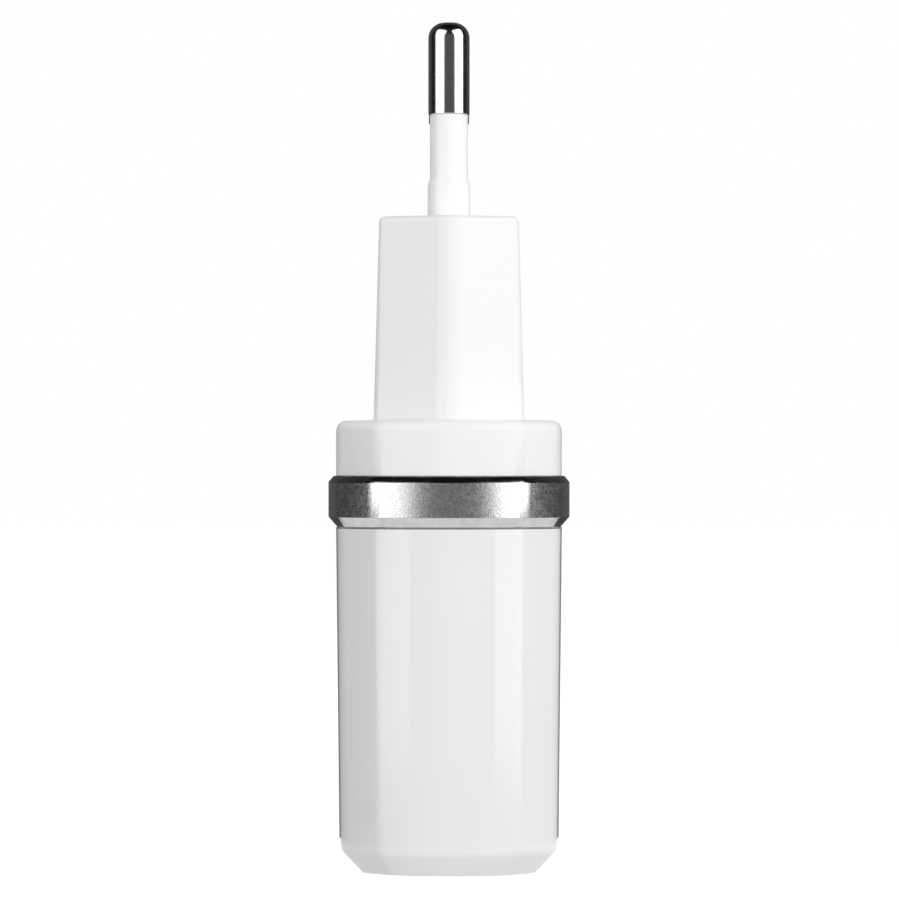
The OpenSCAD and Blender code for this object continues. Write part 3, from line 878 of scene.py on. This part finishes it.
    def build_ring(self) -> bpy.types.Object:
        """Builds the trim ring, with its blasted band between two machined chamfers.

        Returns:
            The finished ring.
        """
        bm = bmesh.new()
        crest = 0.06
        band = -self.ring_proud
        foot = self.ring_low - 0.95 * self.slack
        section = rounded_section([
            Knee(self.seat_in - self.slack, foot),
            Knee(band + self.ring_foot_bevel * 0.9, foot, 0.02, 2),
            Knee(band, self.ring_low + self.ring_foot_bevel, crest, 2),
            Knee(band, self.ring_high - self.ring_top_bevel, crest, 2),
            Knee(band + self.ring_top_in, self.ring_high, crest, 2),
            Knee(self.seat_in - self.slack, self.ring_high),
        ])
        sweep(bm, section, self.outline(), closed=True)
        bmesh.ops.recalc_face_normals(bm, faces=bm.faces)
        # The faces that tilt up or down are the chamfers. They take the darker aluminium, whose tone is
        # painted shade.
        for face in bm.faces:
            face.material_index = 1 if abs(face.normal.z) > 0.1 else 0
        return finish_piece(
            "trim_ring_band", bm, CHARGER, [self.band.material(), self.chamfer.material()],
            ("trim_ring",), crease_deg=50.0,
        )


# --------------------------------------------------------------------------
# The plug's pins
# --------------------------------------------------------------------------


@dataclass
class Pin:
    """One plug pin and its insulating sleeve, which lean towards the other pin."""

    side: int
    label: str
    face_z: float = 63.5
    spread: float = 18.6
    spread_tip: float = 17.5
    length: float = 19.0
    bare: float = 9.0
    metal_r: float = 2.01
    core_r: float = 1.55
    flange_r: float = 2.6
    sleeve_r: float = 1.85
    foot_r: float = 2.075
    foot_l: float = 3.7
    terminal_r: float = 1.25
    flats: int = 72

    @property
    def tilt(self) -> float:
        """How far the pin leans, in radians."""
        return math.atan((self.spread - self.spread_tip) / 2 / self.length)

    @property
    def place(self) -> Matrix:
        """The pin's foot on the pin face, with Z along the pin."""
        foot = Matrix.Translation((self.side * self.spread / 2, 0, self.face_z))
        return foot @ Matrix.Rotation(-self.side * self.tilt, 4, "Y")

    def at_height(self, height: float) -> Vector:
        """Gives the point of the pin's axis at a height."""
        lean = math.tan(self.tilt) * (height - self.face_z)
        return Vector((self.side * (self.spread / 2 - lean), 0.0, height))

    def build_metal(self, finish: bpy.types.Material) -> bpy.types.Object:
        """Turns the pin's metal core, bare end and flange.

        Args:
            finish: the metal's finish.

        Returns:
            The finished pin.
        """
        bm = bmesh.new()
        bare_from = self.length - self.bare
        turned(bm, [
            Knee(0.0, -9.0), Knee(self.terminal_r, -9.0, 0.25, 3), Knee(self.terminal_r, -6.5),
            Knee(self.core_r, -6.5), Knee(self.core_r, -3.9), Knee(self.flange_r, -3.9, 0.15, 3),
            Knee(self.flange_r, -2.7), Knee(self.core_r, -2.7), Knee(self.core_r, bare_from),
            Knee(self.metal_r, bare_from, 0.1, 3), Knee(self.metal_r, self.length, 1.5, 14),
            Knee(0.0, self.length),
        ], self.flats)
        bmesh.ops.transform(bm, verts=bm.verts, matrix=self.place)
        return finish_piece(
            f"{self.label}_pin_metal", bm, CHARGER, [finish], (f"{self.label}_pin",),
        )

    def build_sleeve(self, finish: bpy.types.Material) -> bpy.types.Object:
        """Turns the sleeve that is moulded round the pin's core.

        Args:
            finish: the sleeve's finish.

        Returns:
            The finished sleeve.
        """
        bm = bmesh.new()
        cone = 0.5
        turned(bm, [
            Knee(self.core_r, -2.7), Knee(self.flange_r, -2.7), Knee(self.flange_r, -2.1, 0.15, 3),
            Knee(self.foot_r, -2.1), Knee(self.foot_r, self.foot_l - cone, 0.3, 4),
            Knee(self.sleeve_r, self.foot_l, 0.6, 4),
            Knee(self.sleeve_r, self.length - self.bare, 0.06, 2),
            Knee(self.core_r, self.length - self.bare),
        ], self.flats, closed=True)
        bmesh.ops.transform(bm, verts=bm.verts, matrix=self.place)
        return finish_piece(
            f"{self.label}_sleeve_moulding", bm, CHARGER, [finish],
            (f"{self.label}_pin_sleeve",),
        )


# --------------------------------------------------------------------------
# The ports
# --------------------------------------------------------------------------


@dataclass
class Port:
    """One port: its metal shell, the tongue in it and the four sprung contacts."""

    side: int
    label: str
    x: float = 8.0
    width: float = 12.5
    thickness: float = 5.12
    sheet: float = 0.3
    depth: float = 14.0
    mouth_z: float = 0.4
    corner_r: float = 0.9
    finger_x: float = 3.0
    finger_w: float = 2.4
    finger_z: tuple[float, float] = (2.2, 7.4)
    slot_w: float = 0.35
    dent: float = 0.26
    contact_x: tuple[float, ...] = (-3.5, -1.0, 1.0, 3.5)
    leaf_t: float = 0.25
    leaf_w: float = 1.0

    @property
    def centre(self) -> Vector:
        """The port's middle on the foot."""
        return Vector((self.side * self.x, 0.0, 0.0))

    @property
    def half_t(self) -> float:
        """Half the shell's thickness over its sheet metal."""
        return self.thickness / 2 + self.sheet

    @property
    def finger_span(self) -> tuple[float, float]:
        """The heights between which the retaining fingers stand."""
        return self.mouth_z + self.finger_z[0], self.mouth_z + self.finger_z[1]

    @property
    def dent_span(self) -> tuple[float, float]:
        """The heights between which each finger is dented inwards."""
        finger_low, _ = self.finger_span
        return finger_low + self.slot_w / 2 + 0.05, finger_low + 1.9

    def cut_fingers(self, bm: bmesh.types.BMesh) -> None:
        """Cuts the slots that free the retaining fingers, and the rows that their dents bend on.

        Args:
            bm: the shell's mesh, still a wall without thickness.
        """
        finger_low, finger_high = self.finger_span
        dent_from, dent_to = self.dent_span
        dent_rows = [dent_from + (dent_to - dent_from) * i / 6 for i in range(7)]
        cuts = [(Vector((0, 0, z)), UP) for z in (
            finger_low - self.slot_w / 2, finger_low + self.slot_w / 2, finger_high, *dent_rows,
        )]
        for finger in (-1, 1):
            for edge in (-1, 1):
                for out in (0.0, self.slot_w):
                    offset = finger * self.finger_x + edge * (self.finger_w / 2 + out)
                    cuts.append((self.centre + Vector((offset, 0, 0)), Vector((1, 0, 0))))
        for point, normal in cuts:
            bmesh.ops.bisect_plane(
                bm, geom=bm.verts[:] + bm.edges[:] + bm.faces[:], plane_co=point, plane_no=normal,
            )
        slots = []
        for face in bm.faces:
            middle = face.calc_center_median() - self.centre
            from_finger = abs(abs(middle.x) - self.finger_x)
            beside = self.finger_w / 2 < from_finger < self.finger_w / 2 + self.slot_w
            below = from_finger < self.finger_w / 2 and abs(middle.z - finger_low) < self.slot_w / 2
            level = finger_low - self.slot_w / 2 < middle.z < finger_high
            if abs(middle.y) > self.half_t - SAME_POINT and level and (beside or below):
                slots.append(face)
        bmesh.ops.delete(bm, geom=slots, context="FACES")

    def dent_fingers(self, bm: bmesh.types.BMesh) -> None:
        """Presses each finger inwards near its free end, so that it grips a plug.

        Args:
            bm: the shell's mesh, with its fingers cut free.
        """
        dent_from, dent_to = self.dent_span
        for vert in bm.verts:
            across = abs(abs(vert.co.x - self.centre.x) - self.finger_x)
            on_wide_side = abs(vert.co.y) > self.half_t - SAME_POINT
            in_dent = dent_from - SAME_POINT < vert.co.z < dent_to + SAME_POINT
            if in_dent and on_wide_side and across < self.finger_w / 2 + SAME_POINT:
                share = (vert.co.z - dent_from) / (dent_to - dent_from)
                vert.co.y -= math.copysign(self.dent * math.sin(math.pi * share), vert.co.y)

    def add_tabs(self, bm: bmesh.types.BMesh) -> None:
        """Adds the tabs that hold the shell in the board.

        Args:
            bm: the shell's mesh.
        """
        board_low, _ = node_box("main_board")
        for side in (-1, 1):
            for z in (5, 11):
                x = self.centre.x + side * (self.width / 2 + self.sheet / 2)
                brick(
                    bm, Vector((x - self.sheet / 2, board_low.y - 0.8, z - 1)),
                    Vector((x + self.sheet / 2, 0, z + 1)), 0.05,
                )

    def build_shell(self, finish: bpy.types.Material) -> bpy.types.Object:
        """Bends the shell from sheet metal, with two retaining fingers on each wide side.

        Args:
            finish: the metal's finish.

        Returns:
            The finished shell.
        """
        bm = bmesh.new()
        arcs = rectangle_arcs(
            self.centre, self.width + 2 * self.sheet, 2 * self.half_t, self.corner_r, 6,
        )
        tube = [Vector((0, z, 0)) for z in (self.mouth_z, self.mouth_z + self.depth)]
        sweep(bm, tube, arcs)
        self.cut_fingers(bm)
        self.dent_fingers(bm)
        bmesh.ops.recalc_face_normals(bm, faces=bm.faces)
        for face in bm.faces:
            outward = face.calc_center_median() - self.centre
            outward.z = 0
            if face.normal.dot(outward) < 0:
                face.normal_flip()
        bmesh.ops.solidify(bm, geom=bm.faces[:], thickness=self.sheet)
        self.add_tabs(bm)
        return finish_piece(
            f"{self.label}_port_shell", bm, CHARGER, [finish], (f"{self.label}_usb_shell",),
        )

    def build_tongue(self, finish: bpy.types.Material) -> bpy.types.Object:
        """Eases the edges of the moulded tongue and its block.

        Args:
            finish: the plastic's finish.

        Returns:
            The finished tongue.
        """
        node = f"{self.label}_usb_tongue"
        bm = bmesh.new()
        bm.from_mesh(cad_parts[node].data)
        bmesh.ops.scale(bm, verts=bm.verts, vec=(1 / MM,) * 3)
        bmesh.ops.remove_doubles(bm, verts=bm.verts, dist=SAME_POINT)
        bmesh.ops.dissolve_limit(
            bm, angle_limit=math.radians(1), verts=bm.verts, edges=bm.edges, use_dissolve_boundaries=False,
        )
        mouth = [
            e for e in bm.edges
            if e.is_manifold and e.calc_face_angle() > math.radians(40)
            and max(v.co.z for v in e.verts) < self.mouth_z + self.depth - 4
        ]
        bmesh.ops.bevel(
            bm, geom=mouth, affect="EDGES", offset=0.07, segments=2, profile=0.5, material=-1,
        )
        return finish_piece(
            f"{self.label}_port_tongue", bm, CHARGER, [finish], (node,),
        )

    def build_leaves(self, finish: bpy.types.Material) -> bpy.types.Object:
        """Bends the four contact leaves, each with its raised bump.

        Args:
            finish: the plating's finish.

        Returns:
            The finished leaves, which ride on the port's own moving body.
        """
        bm = bmesh.new()
        low, high = node_box(f"{self.label}_usb_springs")
        root = high.z - self.leaf_t / 2
        path = rounded_section([
            Knee(0.55, root), Knee(0.5, root - 3.5, 2.0, 5), Knee(-0.35, root - 5.9, 0.45, 5),
            Knee(-0.35, root - 6.5, 0.45, 5), Knee(0.2, root - 7.5, 0.5, 4), Knee(0.35, root - 7.9),
        ])
        for x in self.contact_x:
            left = self.centre.x + x - self.leaf_w / 2
            leaf = bmesh.new()
            verts = [leaf.verts.new((left, p.x, p.y)) for p in path]
            edges = [leaf.edges.new(pair) for pair in zip(verts, verts[1:])]
            pulled = bmesh.ops.extrude_edge_only(leaf, edges=edges)["geom"]
            moved = [g for g in pulled if isinstance(g, bmesh.types.BMVert)]
            bmesh.ops.translate(leaf, verts=moved, vec=(self.leaf_w, 0, 0))
            for face in leaf.faces:
                if face.normal.y > 0:
                    face.normal_flip()
            bmesh.ops.translate(leaf, verts=leaf.verts, vec=(0, -self.leaf_t / 2, 0))
            bmesh.ops.solidify(leaf, geom=leaf.faces[:], thickness=self.leaf_t)
            rims = [e for e in leaf.edges if e.is_manifold and e.calc_face_angle() > math.radians(60)]
            bmesh.ops.bevel(
                leaf, geom=rims, affect="EDGES", offset=0.04, segments=1, profile=0.5, material=-1,
            )
            part = bpy.data.meshes.new("leaf")
            leaf.to_mesh(part)
            leaf.free()
            bm.from_mesh(part)
            bpy.data.meshes.remove(part)
            bmesh.ops.translate(bm, verts=self.root_roll(bm), vec=(self.centre.x + x, path[0].x, root))
        return finish_piece(
            f"{self.label}_port_leaves", bm, f"{self.label}_port_contacts", [finish],
            (f"{self.label}_usb_springs",),
        )

    def root_roll(self, bm: bmesh.types.BMesh) -> list[bmesh.types.BMVert]:
        """Adds the rolled root of a leaf, which turns in the block, at the origin along X.

        Args:
            bm: the mesh of the leaves.

        Returns:
            The roll's vertices.
        """
        r, half = self.leaf_t / 2, self.leaf_w / 2
        roll = turned(bm, [
            Knee(0, -half), Knee(r, -half, 0.04, 2), Knee(r, half, 0.04, 2), Knee(0, half),
        ], 20)
        bmesh.ops.rotate(bm, verts=roll, cent=(0, 0, 0), matrix=Matrix.Rotation(math.pi / 2, 3, "Y"))
        return roll


# --------------------------------------------------------------------------
# Everything inside
# --------------------------------------------------------------------------


@dataclass
class Insides:
    """The board and the parts on it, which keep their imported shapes."""

    finishes: dict[PlainFinish, tuple[str, ...]] = field(default_factory=lambda: {
        PlainFinish("inner_plastic", (0.7, 0.7, 0.68), (0.62, 0.62, 0.6),
                    Pattern.GRAIN, 0.6, 0.004, (0.4, 0.55)):
            ("pin_retainer",),
        PlainFinish("bare_bronze", (0.72, 0.42, 0.2), (0.6, 0.33, 0.14), Pattern.GRAIN, 0.3, 0.003,
                    (0.25, 0.4), 1.0, (1.0, 1.0, 0.1)):
            ("left_contact_strip", "right_contact_strip"),
        PlainFinish("board_green", (0.01, 0.12, 0.045), (0.015, 0.2, 0.08),
                    Pattern.WEAVE, 0.5, 0.006, (0.25, 0.4)):
            ("main_board",),
        PlainFinish("insulating_film", (0.8, 0.72, 0.5), (0.72, 0.63, 0.42),
                    Pattern.WEAVE, 0.8, 0.004, (0.3, 0.45)):
            ("insulating_sheet",),
        PlainFinish("contact_gold", (0.95, 0.66, 0.3), (0.85, 0.56, 0.22), Pattern.GRAIN, 0.25, 0.001,
                    (0.16, 0.28), 1.0, (1.0, 1.0, 0.15)):
            ("left_usb_tails", "right_usb_tails"),
        PlainFinish("ferrite", (0.07, 0.07, 0.075), (0.035, 0.035, 0.04),
                    Pattern.SPECKS, 0.25, 0.01, (0.45, 0.6)):
            ("transformer_upper_core", "transformer_lower_core"),
        PlainFinish("bobbin_black", (0.02, 0.02, 0.02), (0.035, 0.035, 0.035),
                    Pattern.GRAIN, 0.5, 0.003, (0.35, 0.5)):
            ("transformer_bobbin",),
        PlainFinish("winding_tape", (0.85, 0.6, 0.1), (0.75, 0.5, 0.06), Pattern.STRANDS, 0.35, 0.01,
                    (0.25, 0.4), 0.0, (0.0, 0.0, 1.0)):
            ("transformer_winding",),
        PlainFinish("tinned_wire", (0.8, 0.8, 0.79), (0.66, 0.66, 0.66),
                    Pattern.GRAIN, 0.4, 0.002, (0.22, 0.38), 1.0):
            ("transformer_pins",),
        PlainFinish("can_sleeve_black", (0.02, 0.021, 0.024), (0.04, 0.04, 0.045),
                    Pattern.GRAIN, 1.0, 0.006,
                    (0.22, 0.35)):
            ("plug_capacitor", "board_capacitor"),
        PlainFinish("can_sleeve_blue", (0.02, 0.05, 0.2), (0.03, 0.07, 0.26),
                    Pattern.GRAIN, 1.0, 0.006, (0.22, 0.35)):
            ("first_output_capacitor", "second_output_capacitor"),
        PlainFinish("resistor_coat", (0.18, 0.3, 0.16), (0.14, 0.24, 0.12),
                    Pattern.SPECKS, 0.4, 0.01, (0.35, 0.5)):
            ("fusible_resistor",),
        PlainFinish("choke_copper", (0.55, 0.22, 0.08), (0.36, 0.12, 0.04), Pattern.STRANDS, 0.2, 0.03,
                    (0.22, 0.35), 0.7, (0.0, 1.0, 0.0)):
            ("input_choke",),
        PlainFinish("capacitor_coat", (0.1, 0.25, 0.5), (0.08, 0.2, 0.42),
                    Pattern.GRAIN, 0.7, 0.01, (0.3, 0.4)):
            ("safety_capacitor",),
        PlainFinish("chip_black", (0.02, 0.02, 0.02), (0.035, 0.035, 0.036),
                    Pattern.SPECKS, 0.12, 0.004, (0.5, 0.65)):
            ("bridge_rectifier", "switching_controller", "output_rectifier", "clamp_diode",
             "port_controller", "chip_resistors"),
        PlainFinish("chip_tan", (0.42, 0.3, 0.18), (0.35, 0.24, 0.14),
                    Pattern.GRAIN, 0.3, 0.002, (0.3, 0.45)):
            ("chip_capacitors",),
    })

    def dress_nodes(self) -> None:
        """Gives every inner node its finish."""
        for finish, nodes in self.finishes.items():
            material = finish.material()
            for node in nodes:
                dress(node, material)


# --------------------------------------------------------------------------
# The studio
# --------------------------------------------------------------------------


class Throw(Enum):
    """What a light acts on."""

    SHEEN = "sheen"
    BODY = "body"


@dataclass
class Softbox:
    """A rectangular light that stands round the object and faces it.

    Attributes:
        name: the light's name.
        turn_deg: where it stands, in degrees anticlockwise from the camera.
        rise_deg: how high it stands, in degrees.
        distance: how far away it stands, in metres.
        size: its width and height in metres.
        radiance: how bright its face is.
        throw: whether it shows in reflections or lights the surfaces themselves.
    """

    name: str
    turn_deg: float
    rise_deg: float
    distance: float
    size: tuple[float, float]
    radiance: float
    throw: Throw

    def build(self, target: Vector) -> bpy.types.Object:
        """Sets up the light.

        Args:
            target: the point that it faces.

        Returns:
            The light's object.
        """
        light = bpy.data.lights.new(self.name, "AREA")
        light.shape = "RECTANGLE"
        light.size, light.size_y = self.size
        light.energy = self.radiance * math.pi * self.size[0] * self.size[1]
        lamp = bpy.data.objects.new(self.name, light)
        bpy.context.scene.collection.objects.link(lamp)
        rise = math.radians(self.rise_deg)
        out = heading(math.radians(self.turn_deg)) * math.cos(rise) + UP * math.sin(rise)
        lamp.location = target + out * self.distance
        lamp.rotation_mode = "QUATERNION"
        lamp.rotation_quaternion = (-out).to_track_quat("-Z", "Y")
        lamp.visible_camera = False
        lamp.visible_glossy = self.throw is Throw.SHEEN
        lamp.visible_diffuse = self.throw is Throw.BODY
        return lamp


@dataclass(frozen=True)
class Ramp:
    """A brightness of the surround that changes along one direction.

    Attributes:
        axis: the direction, X or Z.
        start: where the change starts, from -1 to 1.
        end: where the change ends.
        before: the brightness up to the start.
        after: the brightness past the end.
    """

    axis: str
    start: float
    end: float
    before: float
    after: float

    def build(self, tree: bpy.types.NodeTree, way: bpy.types.Node) -> Socket:
        """Adds the ramp to the surround.

        Args:
            tree: the surround's node tree.
            way: the node that splits a direction into X, Y and Z.

        Returns:
            The socket of its brightness.
        """
        return add_node(
            tree, "MapRange", Value=way.outputs[self.axis],
            i1=self.start, i2=self.end, i3=self.before, i4=self.after,
        ).outputs[0]


@dataclass
class Studio:
    """The camera, the pale floor and the soft lights."""

    camera_x: float = 0.65
    camera_z: float = 0.0409
    lens: float = 263.4
    aim_y: float = 0.0001
    floor_z: float = -0.0001
    near_floor_r: float = 0.048
    floor_r: float = 3.0
    light_z: float = 0.04
    ambient: Ramp = Ramp("Z", -0.3, 0.3, 0.64, 0.23)
    front_sheen: Ramp = Ramp("X", 0.1, 0.95, 0.015, 0.1)
    high_dimming: Ramp = Ramp("Z", 0.15, 0.7, 1.0, 0.12)
    back_sheen: Ramp = Ramp("X", -0.65, -0.3, 0.07, 0.0)
    ground_sheen: Ramp = Ramp("Z", -0.36, -0.16, 0.75, 0.0)
    ground_reach: Ramp = Ramp("X", -0.6, -0.4, 0.0, 1.0)
    boxes: list[Softbox] = field(default_factory=lambda: [
        Softbox("right_softbox", 58.0, 25.0, 0.5, (0.48, 0.62), 2.3, Throw.SHEEN),
        Softbox("left_softbox", -53.0, 25.0, 0.5, (0.5, 0.62), 1.8, Throw.SHEEN),
        Softbox("front_key", 10.0, 12.0, 0.6, (0.3, 0.3), 7.9, Throw.BODY),
        Softbox("right_fill", 110.0, 12.0, 0.6, (0.3, 0.3), 5.2, Throw.BODY),
        Softbox("right_back_fill", 155.0, 15.0, 0.6, (0.3, 0.3), 1.9, Throw.BODY),
        Softbox("back_fill", 195.0, 15.0, 0.6, (0.3, 0.3), 0.9, Throw.BODY),
        Softbox("left_back_fill", 225.0, 12.0, 0.6, (0.3, 0.3), 5.2, Throw.BODY),
        Softbox("top_fill", 0.0, 88.0, 0.6, (0.3, 0.3), 4.5, Throw.BODY),
    ])

    def build_camera(self) -> None:
        """Sets the camera level with the casing, in front of a narrow side."""
        data = bpy.data.cameras.new("camera")
        data.lens, data.sensor_width = self.lens, 36.0
        data.clip_start, data.clip_end = 0.01, 20.0
        camera = bpy.data.objects.new("camera", data)
        bpy.context.scene.collection.objects.link(camera)
        camera.location = (self.camera_x, self.aim_y, self.camera_z)
        camera.rotation_euler = (math.pi / 2, 0.0, math.pi / 2)
        bpy.context.scene.camera = camera

    def build_floor(self) -> None:
        """Lays a round pale floor that glows, so that it stays pale up to its rim.

        Only the part close to the object shows in reflections. The rest is a ring round it.
        """
        recipe = Recipe("pale_floor", Roughness=0.6, Emission_Strength=0.97, Emission_Color=(1.0, 1.0, 1.0))
        tone = recipe.blend(recipe.noise(40.0, 2.0), (0.2, 0.2, 0.2), (0.19, 0.19, 0.19))
        recipe.feed("Base Color", tone)
        near, far = bmesh.new(), bmesh.new()
        bmesh.ops.create_circle(near, cap_ends=True, radius=self.near_floor_r, segments=96)
        rim = bmesh.ops.create_circle(far, cap_ends=False, radius=self.near_floor_r, segments=96)["verts"]
        edges = list({e for v in rim for e in v.link_edges})
        pulled = bmesh.ops.extrude_edge_only(far, edges=edges)["geom"]
        outer = [g for g in pulled if isinstance(g, bmesh.types.BMVert)]
        widen = self.floor_r / self.near_floor_r
        bmesh.ops.scale(far, verts=outer, vec=(widen, widen, 1.0))
        bmesh.ops.recalc_face_normals(far, faces=far.faces)
        for name, bm, reflected in (("near_floor", near, True), ("far_floor", far, False)):
            bmesh.ops.translate(bm, verts=bm.verts, vec=UP * self.floor_z)
            mesh = bpy.data.meshes.new(name)
            bm.to_mesh(mesh)
            bm.free()
            mesh.materials.append(recipe.material)
            floor = bpy.data.objects.new(name, mesh)
            bpy.context.scene.collection.objects.link(floor)
            floor.visible_diffuse = False
            floor.visible_glossy = reflected

    def build_surround(self) -> None:
        """Sets what is seen past the floor.

        It is white to the camera and a soft ambient light on surfaces. In reflections it is
        dark, apart from a pale ground that only raised views see.
        """
        world = bpy.data.worlds.new("surround")
        bpy.context.scene.world = world
        world.use_nodes = True
        tree = world.node_tree
        tree.nodes.clear()
        ray = add_node(tree, "LightPath")
        place = add_node(tree, "TexCoord").outputs["Generated"]
        way = add_node(tree, "SeparateXYZ", Vector=place)
        front, high = self.front_sheen.build(tree, way), self.high_dimming.build(tree, way)
        dark = add_node(tree, "Math", i0=front, i1=high)
        dark.operation = "MULTIPLY"
        dim = add_node(tree, "Math", i0=dark.outputs[0], i1=self.back_sheen.build(tree, way))
        ground, reach = self.ground_sheen.build(tree, way), self.ground_reach.build(tree, way)
        pale = add_node(tree, "Math", i0=ground, i1=reach, i2=dim.outputs[0])
        pale.operation = "MULTIPLY_ADD"
        ambient, gloss, white = (
            add_node(tree, "Background", Color=(1, 1, 1, 1), Strength=strength).outputs[0]
            for strength in (self.ambient.build(tree, way), pale.outputs[0], 1.0)
        )
        lit = add_node(tree, "MixShader", i0=ray.outputs["Is Glossy Ray"], i1=ambient, i2=gloss)
        seen = add_node(
            tree, "MixShader", i0=ray.outputs["Is Camera Ray"], i1=lit.outputs[0], i2=white,
        )
        add_node(tree, "OutputWorld", Surface=seen.outputs[0])

    def build(self) -> None:
        """Sets up everything round the object."""
        self.build_camera()
        self.build_floor()
        self.build_surround()
        for box in self.boxes:
            box.build(UP * self.light_z)
        view = bpy.context.scene.view_settings
        view.view_transform, view.look, view.exposure, view.gamma = "Standard", "None", 0.0, 1.0
        LOG.info("set up the camera, the floor and %d lights", len(self.boxes))


def main() -> None:
    """Builds each sub-assembly in order and reports it."""
    logging.basicConfig(level=logging.INFO, format="%(message)s")
    Studio().build()

    nickel = TurnedMetal(
        "nickel_plate", (0.74, 0.73, 0.715), (0.66, 0.65, 0.64), (0.1, 0.18), 0.05, 0.0006,
    ).material()
    sleeve = MouldedPlastic(
        "sleeve_white_plastic", (0.9, 0.9, 0.9), (0.89, 0.89, 0.892), (0.3, 0.36), 0.2, 0.0008,
    ).material()
    pins = [Pin(-1, "left"), Pin(1, "right")]
    for pin in pins:
        pin.build_metal(nickel)
        pin.build_sleeve(sleeve)

    casing = Casing()
    casing.build_housing()
    casing.build_cover(pins, pins[0].foot_r + 0.02)
    casing.build_ring()

    steel = PlainFinish(
        "tinned_steel", (0.72, 0.72, 0.71), (0.6, 0.6, 0.6), Pattern.GRAIN, 0.3, 0.0015, (0.2, 0.34), 1.0,
        (1.0, 1.0, 0.12),
    ).material()
    tongue = MouldedPlastic(
        "tongue_white_plastic", (0.8, 0.8, 0.79), (0.76, 0.76, 0.75), (0.35, 0.45), 0.2, 0.001,
    ).material()
    gilt = PlainFinish(
        "gilt_bronze", (0.95, 0.66, 0.3), (0.86, 0.57, 0.23), Pattern.GRAIN, 0.2, 0.0008, (0.14, 0.26), 1.0,
    ).material()
    for port in (Port(-1, "left"), Port(1, "right")):
        port.build_shell(steel)
        port.build_tongue(tongue)
        port.build_leaves(gilt)

    Insides().dress_nodes()


if __name__ == "__main__":
    main()
